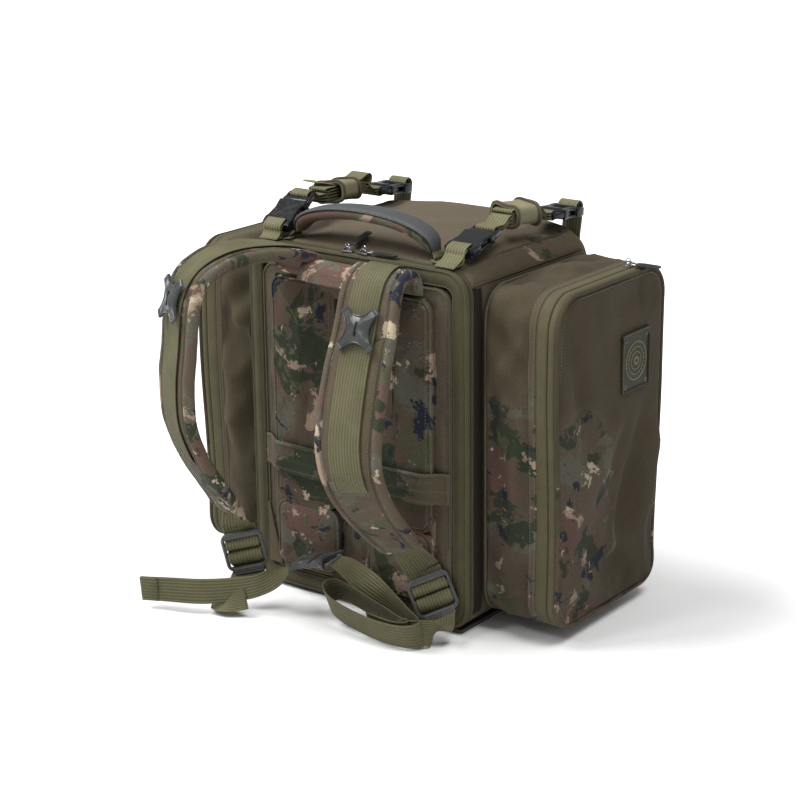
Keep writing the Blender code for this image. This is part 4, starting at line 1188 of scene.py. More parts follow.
# Along each strap, from the yoke down: x, y, z, width and tilt in degrees
STRAP_ROUTES = {
    "right": (
        (0.061, -0.1270, 0.372, 0.074, 0), (0.061, -0.1300, 0.386, 0.074, 0),
        (0.061, -0.1420, 0.3945, 0.074, 0), (0.061, -0.1580, 0.387, 0.074, 0),
        (0.062, -0.1690, 0.369, 0.076, 0), (0.065, -0.1810, 0.341, 0.078, 0),
        (0.067, -0.1980, 0.303, 0.080, 2), (0.069, -0.2120, 0.262, 0.080, 4),
        (0.071, -0.2200, 0.228, 0.078, 6), (0.075, -0.2190, 0.196, 0.074, 8),
        (0.081, -0.2060, 0.163, 0.068, 12), (0.088, -0.1800, 0.128, 0.058, 18),
        (0.094, -0.1590, 0.104, 0.048, 22),
    ),
    "left": (
        (-0.061, -0.1270, 0.372, 0.074, 0), (-0.061, -0.1300, 0.386, 0.074, 0),
        (-0.066, -0.1430, 0.3970, 0.074, -6), (-0.080, -0.1660, 0.4030, 0.074, -14),
        (-0.095, -0.1950, 0.4040, 0.074, -20), (-0.104, -0.2210, 0.3990, 0.074, -24),
        (-0.111, -0.2430, 0.3860, 0.074, -26), (-0.115, -0.2560, 0.3620, 0.076, -26),
        (-0.117, -0.2620, 0.3160, 0.078, -26), (-0.118, -0.2670, 0.2780, 0.078, -26),
        (-0.118, -0.2660, 0.2390, 0.078, -26), (-0.117, -0.2540, 0.2040, 0.074, -24),
        (-0.115, -0.2370, 0.1730, 0.068, -22), (-0.112, -0.2120, 0.1360, 0.056, -18),
        (-0.111, -0.1970, 0.1130, 0.048, -14),
    ),
}
# The controls at which each clasp sits and the webbing ends, and the webbing's height over the pad's middle
CLASP_AT = {"right": 5, "left": 7}
WEB_END_AT = {"right": 9.0, "left": 11.0}
WEB_LIFT = 0.009


def strap_section(half):
    """A strap's section as (across, up), from the middle of its face round by its back."""
    c = half - 0.0116
    face = [(0.0, 0.0068), (0.35 * c, 0.0068), (0.70 * c, 0.0067), (c, 0.0064)]
    edge = [(half - 0.0104, 0.0052), (half - 0.0094, 0.0046), (half - 0.0082, 0.0056),
            (half - 0.0060, 0.0068), (half - 0.0032, 0.0064), (half - 0.0010, 0.0042), (half, 0.0012),
            (half - 0.0002, -0.0016), (half - 0.0016, -0.0044), (half - 0.0044, -0.0062),
            (half - 0.0080, -0.0058), (half - 0.0092, -0.0050)]
    back = [(half - 0.0108, -0.0060), (0.62 * c, -0.0070), (0.30 * c, -0.0072), (0.0, -0.0072)]
    right = face + edge + back
    left = [(-a, b) for a, b in right[-2:0:-1]]
    return np.array(right + left)


def strap(side, sign):
    """A shoulder strap: its pad, ribbed webbing, stitching, clasp and lower webbing."""
    table = [(x, y, z, w, math.cos(math.radians(t)), math.sin(math.radians(t)), 0.0, k)
             for k, (x, y, z, w, t) in enumerate(STRAP_ROUTES[side])]
    rows = route(table, 0.0050)
    points, half, sides, at = rows[:, :3], rows[:, 3] / 2, rows[:, 4:7], rows[:, 7]
    across, normal, along = frames(points, sides)
    run = arc_length(points)
    ends = np.minimum(ease(0, 0.006, run), ease(0, 0.009, run[-1] - run)) * 0.55 + 0.45
    sections = np.array([strap_section(h) for h in half])
    count = sections.shape[1]
    built = (points[:, None] + across[:, None] * sections[..., :1]
             + normal[:, None] * sections[..., 1:] * ends[:, None, None])
    wave = 0.0007 * ripple(built, 42, 51 + sign) + 0.0004 * ripple(built, 110, 53)
    built += normal[:, None] * wave[..., None]
    plain_from, plain_to = CLASP_AT[side] + 0.3, WEB_END_AT[side] + 0.05
    in_zone = (at > plain_from) & (at < plain_to)
    on_face = (np.abs(sections[..., 0]) < half[:, None] - 0.0100) & (sections[..., 1] > 0)
    camo = np.where(in_zone[:, None] & on_face, -0.15, 1.0)
    flat_us = arc_length(np.column_stack([sections[len(sections) // 2], np.zeros(count)]))
    us = np.append(flat_us, flat_us[-1] + 0.003)
    pad = skin(f"{side}_strap_cloth", built, "cloth", "harness", us=us, vs=run,
               replaces=[f"{side}_strap_pad"], slot="camo_cloth")
    paint(pad, camo.ravel())
    seam = (np.abs(np.abs(sections[..., 0]) - (half[:, None] - 0.0094)) < 0.0014)
    under_web = (at < WEB_END_AT[side] + 0.1)[:, None] & on_face
    hold = np.where(seam | under_web, 1.0, 0.0)
    hold[:2] = hold[-3:] = 1.0
    soft(pad, 0.0012, hold)

    thread = Heap(f"{side}_strap_thread", "thread", "harness")
    for edge in (-1, 1):
        for inset, lift in ((0.0119, 0.0067), (0.0080, 0.0060)):
            line = points + across * (edge * (half - inset))[:, None] + normal * lift
            thread.stitches(line[2:-3], normal[2:-3])
    profile, us = web_profile(WEB_W, WEB_T, WEB_RIBS)
    kept = np.where(at <= WEB_END_AT[side] + 0.5)[0][-1] + 1
    web = sweep_rows(points[:kept], sides[:kept], profile, lift=WEB_LIFT - 0.0004)
    web[-3:] -= normal[kept - 3 : kept, None] * np.array([0.0002, 0.0006, 0.0016])[:, None, None]
    skin(f"{side}_strap_webbing", web, "webbing", "harness", us=us, vs=run[:kept], sharp=None,
         replaces=[f"{side}_strap_web"], slot="webbing")
    top = WEB_LIFT + 0.0010
    for back_by in (0.004, 0.020):
        k = int(np.searchsorted(run, run[kept - 1] - back_by))
        line = points[k] + across[k] * np.linspace(-0.017, 0.017, 18)[:, None] + normal[k] * top
        thread.stitches(line, normal[k])
    k0, k1 = (int(np.searchsorted(run, run[kept - 1] - d)) for d in (0.020, 0.004))
    for edge in (-1, 1):
        line = points[k0 : k1 + 1] + across[k0 : k1 + 1] * edge * 0.0165 + normal[k0 : k1 + 1] * top
        thread.stitches(line, normal[k0 : k1 + 1])
        a = points[k0] - across[k0] * edge * 0.0165 + normal[k0] * top
        b = points[k1] + across[k1] * edge * 0.0165 + normal[k1] * top
        thread.stitches(np.linspace(a, b, 12), normal[k0])
    k = kept + 1
    inside = half[k] - 0.010
    line = points[k] + across[k] * np.linspace(-inside, inside, 20)[:, None] + normal[k] * 0.0070
    thread.stitches(line, normal[k])
    thread.done()

    k = int(np.argmin(np.abs(at - CLASP_AT[side])))
    centre = points[k] + normal[k] * (WEB_LIFT + 0.0062)
    star(f"{side}_clasp", axes(centre, across[k], -along[k]), "harness", 0.0290, 0.0145,
         [f"{side}_strap_clasp"])
    lower_webbing(side, points, across, normal, along)


def star_points(reach, waist):
    """The clasp's outline: four blunt arms on the diagonals, with hollow sides between them."""
    tip, per_side = 0.0042, 9
    a, b = np.array([reach, tip]), np.array([tip, reach])
    w = waist * math.sqrt(0.5)
    q = 2 * np.array([w, w]) - (a + b) / 2
    points = []
    for arm in range(4):
        turn = math.radians(45 + 90 * arm)
        for k in range(per_side):
            t = k / (per_side - 1)
            x, y = (1 - t) ** 2 * a + 2 * t * (1 - t) * q + t * t * b
            points.append((x * math.cos(turn) - y * math.sin(turn), x * math.sin(turn) + y * math.cos(turn)))
    return np.array(points)


def domed(outline, middle, levels, thick, matrix):
    """Rings of an outline drawn in towards its middle, at each level's share of the thickness and size."""
    rows = []
    for height, size in levels:
        xy = middle + (outline - middle) * size
        rows.append(placed(matrix, np.column_stack([xy, np.full(len(xy), (height - 0.5) * thick)])))
    return np.array(rows)


def star(name, matrix, body, reach, waist, replaces):
    """A domed four-armed clasp with a raised rim and a slit."""
    levels = ((0.0, 0.30), (0.0, 0.93), (0.12, 1.0), (0.50, 1.0), (0.66, 0.965), (0.70, 0.93), (0.66, 0.885),
              (0.56, 0.85), (0.62, 0.80), (0.78, 0.62), (0.92, 0.42), (1.0, 0.22), (1.03, 0.06))
    rows = domed(star_points(reach, waist), 0.0, levels, 0.0060, matrix)
    skin(name, rows, "star_plastic", body, replaces=replaces, slot="grey_plastic", sharp=35)
    slit = Heap(name + "_slit", "black_plastic", body)
    slit.block((-0.0011, -0.0075, 0.0018), (0.0011, 0.0075, 0.0036), matrix, 0.0004)
    slit.done()


def lock_frame(side):
    """A ladder lock's centre, the direction across it and the direction down it."""
    if side == "right":
        return (0.1150, -0.1365, 0.0500), (0.62, 0.60, 0.45), (0.45, -0.01, -0.89)
    return (-0.1070, -0.1830, 0.0650), (0.80, 0.52, 0.25), (0.20, 0.10, -0.97)


# The free tails on the ground: x, y, z, the direction across, and the width
LOCK_TAILS = {
    "right": [
        (0.1268, -0.1405, 0.0270, 0.62, 0.66, 0.40, 0.034),
        (0.1300, -0.1470, 0.0190, 0.55, 0.75, 0.30, 0.032),
        (0.1300, -0.1560, 0.0165, 0.35, 0.70, 0.60, 0.030),
        (0.1250, -0.1640, 0.0185, 0.10, 0.30, 0.95, 0.028),
        (0.1160, -0.1690, 0.0195, 0.0, -0.2, 1.0, 0.028),
        (0.0980, -0.1720, 0.0185, 0.0, -0.4, 0.9, 0.028),
    ],
    "left": [
        (-0.1040, -0.1870, 0.0340, 0.80, 0.50, 0.15, 0.032),
        (-0.1085, -0.1960, 0.0210, 0.75, 0.60, 0.10, 0.028),
        (-0.1180, -0.2040, 0.0130, 0.60, 0.75, 0.10, 0.026),
        (-0.1170, -0.2150, 0.0120, 0.30, 0.80, 0.40, 0.025),
        (-0.1020, -0.2170, 0.0170, 0.10, 0.55, 0.85, 0.025),
        (-0.0850, -0.2080, 0.0220, 0.0, 0.30, 0.95, 0.025),
    ],
}


def lower_webbing(side, points, across, normal, along):
    """The webbing from a strap's end through its ladder lock to the free tail, and the lock."""
    centre, wide, down = lock_frame(side)
    matrix = axes(centre, down, wide)
    body = f"{side}_ladder_lock"
    turn = np.array(matrix.to_3x3())
    length, width, up = turn[:, 0], turn[:, 1], turn[:, 2]
    if np.dot(up, normal[-1]) < 0:
        up = -up
    centre = np.array(centre)

    def local(l, n):
        return centre + length * l + up * n

    start = points[-1] - along[-1] * 0.022 - normal[-1] * 0.0030
    mid = points[-1] + along[-1] * 0.004 - normal[-1] * 0.0036
    side_dir = across[-1]
    if np.dot(side_dir, width) < 0:
        width = -width
    controls = [(*start, *side_dir), (*mid, *side_dir)]
    entry = local(-0.0270, -0.0034)
    controls.append((*(mid + (entry - mid) * 0.5), *(side_dir + (width - side_dir) * 0.5)))
    controls += [(*entry, *width)]
    webbing(f"{side}_lower_webbing", controls, "harness", step=0.0035, replaces=[f"{side}_lower_web"],
            slot="webbing")
    over = [(-0.0275, -0.0034), (-0.0215, -0.0038), (-0.0160, -0.0020), (-0.0120, 0.0016), (-0.0098, 0.0040),
            (-0.0070, 0.0050), (-0.0048, 0.0040), (-0.0034, 0.0010), (-0.0026, -0.0030), (0.0000, -0.0046)]
    webbing(f"{side}_lock_webbing", [(*local(l, n), *width) for l, n in over], body, thickness=0.0016,
            step=0.0022)
    under = [(-0.0050, -0.0050), (-0.0014, -0.0034), (-0.0002, 0.0010), (0.0022, 0.0040), (0.0062, 0.0052),
             (0.0102, 0.0040), (0.0126, 0.0008), (0.0150, -0.0028), (0.0200, -0.0048)]
    tail = [(*local(l, n), *width, WEB_W) for l, n in under]
    tail += LOCK_TAILS[side]
    made = webbing(f"{side}_lock_tail", tail, None, thickness=0.0018, step=0.0030)
    tuple(tail[-3][:3])
    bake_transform(made)

    outline, _ = rounded(-0.0220, 0.0220, -0.0235, 0.0235, 0.0085, 0.010, 6)
    slots = [rounded(low, high, -0.0200, 0.0200, 0.0012, 0.02, 3)[0]
             for low, high in ((-0.0150, -0.0095), (-0.0045, 0.0010), (0.0115, 0.0170))]
    heap = Heap(f"{side}_lock_frame", "grey_plastic", body)
    frame_matrix = axes(centre, length, np.cross(up, length))
    heap.plate(outline, slots, 0.0050, frame_matrix, bevel=0.0011)
    inner = rounded(-0.0200, 0.0185, -0.0215, 0.0215, 0.0068, 0.010, 6)[0]
    rim = [frame_matrix @ Vector((x, y, 0.0026)) for x, y in inner]
    heap.tube([*rim, rim[0]], 0.0008, 6)
    heap.block((0.0178, -0.0165, 0.0016), (0.0262, 0.0165, 0.0040), frame_matrix, 0.0012)
    for l in (0.0195, 0.0218, 0.0241):
        heap.block((l - 0.0005, -0.0140, 0.0036), (l + 0.0005, 0.0140, 0.0046), frame_matrix, 0.0003)
    heap.done(replaces=[f"{side}_ladder_lock"], slot="grey_plastic")


def yoke():
    """The camo bridge that joins both straps over the panel's top edge."""
    xs = np.linspace(-0.040, 0.044, 30)
    bend = ((-0.1225, 0.3520), (-0.1245, 0.3660), (-0.1268, 0.3790), (-0.1345, 0.3885), (-0.1440, 0.3905),
            (-0.1530, 0.3850), (-0.1590, 0.3765))
    path = route([(0.0, y, z) for y, z in bend], 0.0045)
    along = unit(np.gradient(path, axis=0))
    normal = np.cross(along, np.array([1.0, 0, 0]))
    rows = []
    for x in xs:
        t = (x - 0.002) / 0.042
        dip = 1 - t * t
        scale = np.linspace(0, 1, len(path))[:, None]
        drop = np.column_stack([0 * scale, 0.0016 * dip * scale, -0.0030 * dip * scale ** 2])
        line = path + drop
        line[:, 0] = x
        ends = np.minimum(ease(-0.1, 0.2, scale[:, 0]), ease(-0.1, 0.2, 1 - scale[:, 0]))
        face = line + normal * (0.0056 * (0.35 + 0.65 * ends))[:, None]
        back = line - normal * (0.0050 * (0.35 + 0.65 * ends))[:, None]
        rows.append(np.vstack([face, back[::-1]]))
    rows = np.array(rows)
    rows += 0.0010 * ripple(rows, 48, 61)[..., None] * np.array([0, -0.4, 0.9])
    made = skin("strap_yoke_cloth", rows, "cloth", "harness", replaces=["strap_yoke"], slot="camo_cloth")
    paint(made, 1.0)
    thread = Heap("strap_yoke_thread", "thread", "harness")
    for fraction in (0.90, 0.30):
        k = int(fraction * (len(path) - 1))
        thread.stitches(rows[2:-2, k] + normal[k] * 0.0001, normal[k])
    thread.done()


def gusset_tabs():
    for side, sign in SIDES.items():
        heap = Heap(f"{side}_gusset_cloth", "cloth", "harness")
        outline = [(sign * 0.1068, 0.0284), (sign * 0.1262, 0.0284), (sign * 0.1262, 0.0990),
                   (sign * 0.1236, 0.0990)]
        heap.plate(outline, [], 0.0016, axes((0, -0.1183, 0), (1, 0, 0), (0, 0, 1)), bevel=0.0005)
        made = heap.done(replaces=[f"{side}_gusset_tab"], slot="plain_cloth")
        paint(made, 0.1)
        thread = Heap(f"{side}_gusset_thread", "thread", "harness")
        line = np.linspace([sign * 0.1105, -0.1193, 0.0300], [sign * 0.1240, -0.1193, 0.0960], 14)
        thread.stitches(line, [0, -1, 0])
        thread.done()


def waist_belt():
    """The waist webbing: looped surplus on the right, a folded free end on the left, and the clasp."""
    centre = Vector((-0.028, -0.156, 0.062))
    tilt = Vector((math.cos(math.radians(15)), 0.0, math.sin(math.radians(15))))
    matrix = axes(centre, tilt, (0.0, 1.0, 0.12))
    for side, sign in SIDES.items():
        body = "harness" if side == "right" else "waist_free_end"
        waist_star(side, sign, matrix, body)
    end = centre + tilt * 0.0250
    lean = (0.0, -0.40, 0.92)
    right = [
        (*end, 0.0, 1.0, 0.12, 0.022), (0.012, -0.1560, 0.066, 0.0, 0.9, 0.3, 0.026),
        (0.036, -0.1500, 0.050, 0.0, 0.45, 0.8, WAIST_WEB),
        (0.070, -0.1500, 0.036, 0.0, -0.1, 1.0, WAIST_WEB),
        (0.100, -0.1560, 0.0260, *lean, LOOP_WEB), (0.1180, -0.1620, 0.0210, *lean, LOOP_WEB),
        (0.1240, -0.1720, 0.0190, *lean, LOOP_WEB), (0.1160, -0.1830, 0.0180, *lean, LOOP_WEB),
        (0.0960, -0.1880, 0.0180, *lean, LOOP_WEB), (0.0700, -0.1880, 0.0190, *lean, LOOP_WEB),
        (0.0320, -0.1840, 0.0230, *lean, LOOP_WEB), (0.0080, -0.1780, 0.0280, *lean, LOOP_WEB),
        (-0.0030, -0.1680, 0.0340, *lean, LOOP_WEB), (0.0040, -0.1580, 0.0370, *lean, LOOP_WEB),
        (0.0260, -0.1570, 0.0330, *lean, LOOP_WEB), (0.0620, -0.1610, 0.0255, *lean, LOOP_WEB),
        (0.0940, -0.1670, 0.0200, *lean, LOOP_WEB), (0.1120, -0.1740, 0.0190, *lean, LOOP_WEB),
        (0.0980, -0.1815, 0.0190, *lean, LOOP_WEB), (0.0640, -0.1800, 0.0200, *lean, LOOP_WEB),
    ]
    webbing("waist_webbing_right", right, "harness", WAIST_WEB, step=0.0040, ribs=WAIST_RIBS,
            mat="waist_webbing", replaces=["waist_web_right"], slot="webbing")
    end = centre - tilt * 0.0250
    left = [
        (*end, 0.0, 1.0, 0.12, 0.022), (-0.061, -0.173, 0.046, 0.0, 0.9, 0.4, 0.024),
        (-0.0765, -0.1965, 0.035, 0.1, 0.5, 0.9, 0.024), (-0.100, -0.213, 0.030, *UP, WAIST_WEB),
        (-0.128, -0.231, 0.0270, 0.0, 0.22, 1.0, WAIST_WEB),
        (-0.160, -0.245, 0.0260, 0.0, 0.12, 1.0, WAIST_WEB),
        (-0.184, -0.2515, 0.0240, *UP, WAIST_WEB), (-0.1955, -0.2545, 0.0230, *UP, WAIST_WEB),
    ]
    webbing("waist_webbing_left", left, "waist_free_end", WAIST_WEB, step=0.0040, ribs=WAIST_RIBS,
            mat="waist_webbing", replaces=["waist_web_left"], slot="webbing")
    fold = [(-0.176, -0.2508, 0.0245, *UP, WAIST_WEB), (-0.186, -0.2538, 0.0240, *UP, WAIST_WEB),
            (-0.196, -0.2567, 0.0232, *UP, WAIST_WEB)]
    webbing("waist_webbing_fold", fold, "waist_free_end", WAIST_WEB, step=0.0030, ribs=WAIST_RIBS,
            mat="waist_webbing")
    thread = Heap("waist_thread", "thread", "waist_free_end")
    for x, y in ((-0.1795, -0.2533), (-0.1825, -0.2541)):
        thread.stitches(np.linspace([x, y, 0.0130], [x, y, 0.0355], 9), [0.25, -0.95, 0])
    thread.done()


def waist_star(side, sign, matrix, body):
    """One half of the waist clasp, with its webbing bar."""
    reach, waist = 0.0340, 0.0140
    outline = [(0.0004, -waist), (0.0004, waist)]
    outline += [(reach * 0.30, waist * 0.96), (reach * 0.52, reach * 0.47), (reach * 0.68, reach * 0.62)]
    outline += [(reach * 0.76, reach * 0.57), (waist * 1.42, reach * 0.28), (waist * 1.18, 0.0)]
    outline += [(waist * 1.42, -reach * 0.28), (reach * 0.76, -reach * 0.57), (reach * 0.68, -reach * 0.62)]
    outline += [(reach * 0.52, -reach * 0.47), (reach * 0.30, -waist * 0.96)]
    outline = np.array([(x * sign, y) for x, y in outline])
    smooth_line = route([(*p, 0.0) for p in np.vstack([outline[1:], outline[:1]])], 0.0016)[:, :2]
    middle = np.array([sign * 0.0100, 0.0])
    levels = ((0.0, 0.5), (0.0, 0.94), (0.12, 1.0), (0.70, 1.0), (0.92, 0.96), (0.95, 0.90), (0.80, 0.84),
              (0.96, 0.76), (1.10, 0.45), (1.16, 0.12))
    rows = domed(smooth_line, middle, levels, 0.0070, matrix)
    skin(f"waist_clasp_{side}_star", rows, "star_plastic", body, replaces=[f"waist_clasp_{side}"],
         slot="grey_plastic", sharp=35)
    bar = Heap(f"waist_clasp_{side}_bar", "grey_plastic", body)
    ends = [(sign * x, y, -0.0005) for x, y in ((0.0165, -0.0125), (0.0270, -0.0118), (0.0282, 0.0),
                                                (0.0270, 0.0118), (0.0165, 0.0125))]
    bar.tube(route(placed(matrix, ends), 0.0020), 0.0017, 8)
    bar.done()


# ---------------------------------------------------------------- top straps, handle and zip hardware

# Buckle sizes; each buckle's y, z and pitch in degrees; the surplus roll; how far a plug draws out
SOCKET_LEN, BUCKLE_W = 0.040, 0.038
PRONG_LEN, PLUG_LEN = 0.019, 0.016
BUCKLES = {("right", "near"): (-0.0900, 0.4130, 14.5), ("left", "near"): (-0.1030, 0.4120, 31.0),
           ("right", "far"): (0.1220, 0.4200, 176.0), ("left", "far"): (0.1220, 0.4200, 176.0)}
ROLL_Z = 0.4360
KEEPER_TURN = {"right": -9, "left": 6}
TRAVEL = 0.020
CROSS = (1.0, 0.0, 0.0)


def buckle_frame(side, end):
    y, z, pitch = BUCKLES[side, end]
    along = (0.0, math.cos(math.radians(pitch)), math.sin(math.radians(pitch)))
    return axes((SIDES[side] * TOP_X, y, z), along, (1, 0, 0))


def socket(side, end):
    """The receiving half: a flat open body with a webbing bar, a window and two side openings."""
    matrix = buckle_frame(side, end)
    name = f"{side}_{end}_socket"
    half = BUCKLE_W / 2
    heap = Heap(name + "_body", "black_plastic", "bag")
    outline = [(0.0, half - 0.004), (0.003, half - 0.001), (0.010, half), (0.014, half - 0.0018),
               (0.026, half - 0.0030), (0.034, half - 0.0012), (SOCKET_LEN - 0.001, half - 0.0004),
               (SOCKET_LEN, half - 0.004)]
    outline = [(0.0, -half + 0.004), *outline, *((x, -y) for x, y in outline[:0:-1])]
    bar_slot = [(0.0042, -0.0130), (0.0042, 0.0130), (0.0088, 0.0130), (0.0088, -0.0130)]
    window, _ = rounded(0.0165, 0.0290, -0.0085, 0.0085, 0.0025, 0.02, 4)
    for z, holes in ((0.00395, [bar_slot, window]), (-0.00395, [bar_slot])):
        heap.plate(outline, holes, 0.0031, matrix @ Matrix.Translation((0, 0, z)), bevel=0.0007)
    for sign in (-1, 1):
        low, high = sorted((sign * (half - 0.0042), sign * (half - 0.0004)))
        heap.block((0.0006, low, -0.0045), (0.0145, high, 0.0045), matrix, 0.0010)
        heap.block((0.0330, low, -0.0045), (SOCKET_LEN - 0.0006, high, 0.0045), matrix, 0.0008)
    heap.block((0.0094, -half + 0.002, -0.0046), (0.0152, half - 0.002, 0.0046), matrix, 0.0008)
    heap.block((0.0002, -half + 0.003, -0.0040), (0.0038, half - 0.003, 0.0030), matrix, 0.0014)
    for x in (0.0110, 0.0130):
        heap.block((x - 0.0004, -0.0130, 0.0052), (x + 0.0004, 0.0130, 0.0060), matrix, 0.0003)
    heap.block((0.0310, -0.0100, 0.0050), (0.0385, 0.0100, 0.0062), matrix, 0.0006)
    heap.done(replaces=[name], slot="black_plastic")


def plug(side, end):
    """The entering half: two sprung arms, a middle guide and a ladder for the webbing."""
    matrix = buckle_frame(side, end)
    body = f"{side}_{end}_plug"
    start = SOCKET_LEN + 0.0006
    tip = SOCKET_LEN - PRONG_LEN
    stop = start + PLUG_LEN
    half = BUCKLE_W / 2 - 0.0012
    heap = Heap(body + "_body", "black_plastic", body)
    outline = [(start, -half), (start, half), (stop - 0.003, half * 0.97), (stop, half * 0.86),
               (stop, -half * 0.86), (stop - 0.003, -half * 0.97)]
    hole = [(stop - 0.0088, -0.0132), (stop - 0.0088, 0.0132), (stop - 0.0050, 0.0132),
            (stop - 0.0050, -0.0132)]
    heap.plate(outline, [hole], 0.0066, matrix, bevel=0.0011)
    heap.block((start + 0.0002, -half + 0.001, -0.0046), (start + 0.0040, half - 0.001, 0.0046), matrix,
               0.0009)
    for sign in (-1, 1):
        arm = route([(start + 0.001, sign * 0.0125, 0), (tip + 0.012, sign * 0.0132, 0),
                     (tip + 0.005, sign * 0.0137, 0), (tip + 0.0008, sign * 0.0115, 0)], 0.0015)
        wide = np.interp(np.linspace(0, 1, len(arm)), [0, 0.5, 0.8, 1], [0.0024, 0.0019, 0.0021, 0.0012])
        rows = sweep_rows(arm, np.array([0.0, 1.0, 0.0]), SMALL_SECTION, wide=wide,
                          thick=0.0024)
        heap.rows([placed(matrix, row) for row in rows])
    heap.block((tip + 0.003, -0.0022, -0.0018), (start + 0.001, 0.0022, 0.0018), matrix, 0.0008)
    for x in (stop - 0.0030, stop - 0.0016):
        heap.block((x - 0.0003, -0.0125, 0.0030), (x + 0.0003, 0.0125, 0.0039), matrix, 0.0002)
    heap.done(replaces=[body], slot="black_plastic")
    return matrix, stop


def top_webbing(name, points, body, thickness, step, side=CROSS, **how):
    """Narrow webbing through the points, lying level across its run."""
    controls = [(*p, *side, TOP_WEB) for p in points]
    return webbing(name, controls, body, TOP_WEB, thickness, step, TOP_RIBS, "top_webbing", **how)


def top_strap(side, sign):
    """A top strap from front to back: webbing, two buckles, links and the rolled surplus."""
    x = sign * TOP_X
    near_y, near_z, _ = BUCKLES[side, "near"]
    for end in ("near", "far"):
        socket(side, end)
    mid = ((near_y - 0.1160) / 2, (near_z + 0.402) / 2 - 0.0007)
    near, far = (buckle_frame(side, end) for end in ("near", "far"))
    bends = ((-0.0030, -0.0026), (0.0020, -0.0040), (0.0062, -0.0026), (0.0068, 0.0014))
    front = [(x, -0.1160, 0.4018), (x, *mid), *(near @ Vector((a, 0, b)) for a, b in bends)]
    top_webbing(f"{side}_front_webbing", front, "bag", WEB_T, 0.0026, replaces=[f"{side}_front_web"],
                slot="webbing")
    under = [(x, -0.1130, 0.4040 - 0.0012), (x, mid[0] + 0.004, mid[1] - 0.0028),
             near @ Vector((-0.0040, 0, -0.0052)), near @ Vector((0.0080, 0, -0.0068))]
    top_webbing(f"{side}_front_webbing_under", under, "bag", 0.0016, 0.0030)
    bends = ((0.0066, -0.0030), (0.0068, 0.0030), (0.0040, 0.0084), (-0.0014, 0.0104), (-0.0062, 0.0070),
             (-0.0070, 0.0))
    rear = [*(far @ Vector((a, 0, b)) for a, b in bends), (x, 0.1262, 0.4040), (x, 0.1236, 0.3900),
            (x, 0.1216, 0.3600), (x, 0.1196, 0.3370)]
    top_webbing(f"{side}_rear_webbing", rear, "bag", WEB_T, 0.0030, (-1.0, 0.0, 0.0),
                replaces=[f"{side}_rear_web"], slot="webbing")
    stops = {}
    for end in ("near", "far"):
        matrix, stop = plug(side, end)
        body = f"{side}_{end}_plug"
        loop = [(stop - 0.0058, 0.0026), (stop - 0.0060, 0.0044), (stop - 0.0030, 0.0052),
                (stop + 0.0006, 0.0036), (stop + 0.0018, 0.0), (stop + 0.0004, -0.0040),
                (stop - 0.0032, -0.0050), (stop - 0.0068, -0.0040), (stop - 0.0070, 0.0020)]
        top_webbing(f"{body}_loop", [matrix @ Vector((a, 0, b)) for a, b in loop], body, 0.0016, 0.0018)
        stops[end] = matrix @ Vector((stop, 0, 0))
    y0, y1 = stops["near"].y + TRAVEL + 0.002, stops["far"].y - TRAVEL - 0.002
    for end, edge, way in (("near", y0, 1), ("far", y1, -1)):
        at = stops[end]
        for layer, (drop, rise) in enumerate(((-0.0030, -0.0052), (0.0006, -0.0020), (0.0034, 0.0016))):
            link = [(x, at.y - way * 0.0040, at.z + drop), (x, at.y + way * 0.0030, at.z + drop + 0.0006),
                    (x, (at.y + edge) / 2, (at.z + ROLL_Z) / 2 + rise - 0.0010 * layer),
                    (x, edge - way * 0.0010, ROLL_Z + rise), (x, edge + way * 0.0100, ROLL_Z + rise)]
            made = top_webbing(f"{side}_{end}_link_{layer}", link, None, 0.0016, 0.0030)
            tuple(link[1])
            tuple(link[3])
            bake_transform(made)
    rolled(side, sign, x, y0, y1)
    if side == "left":
        surplus(x, y0, y1)


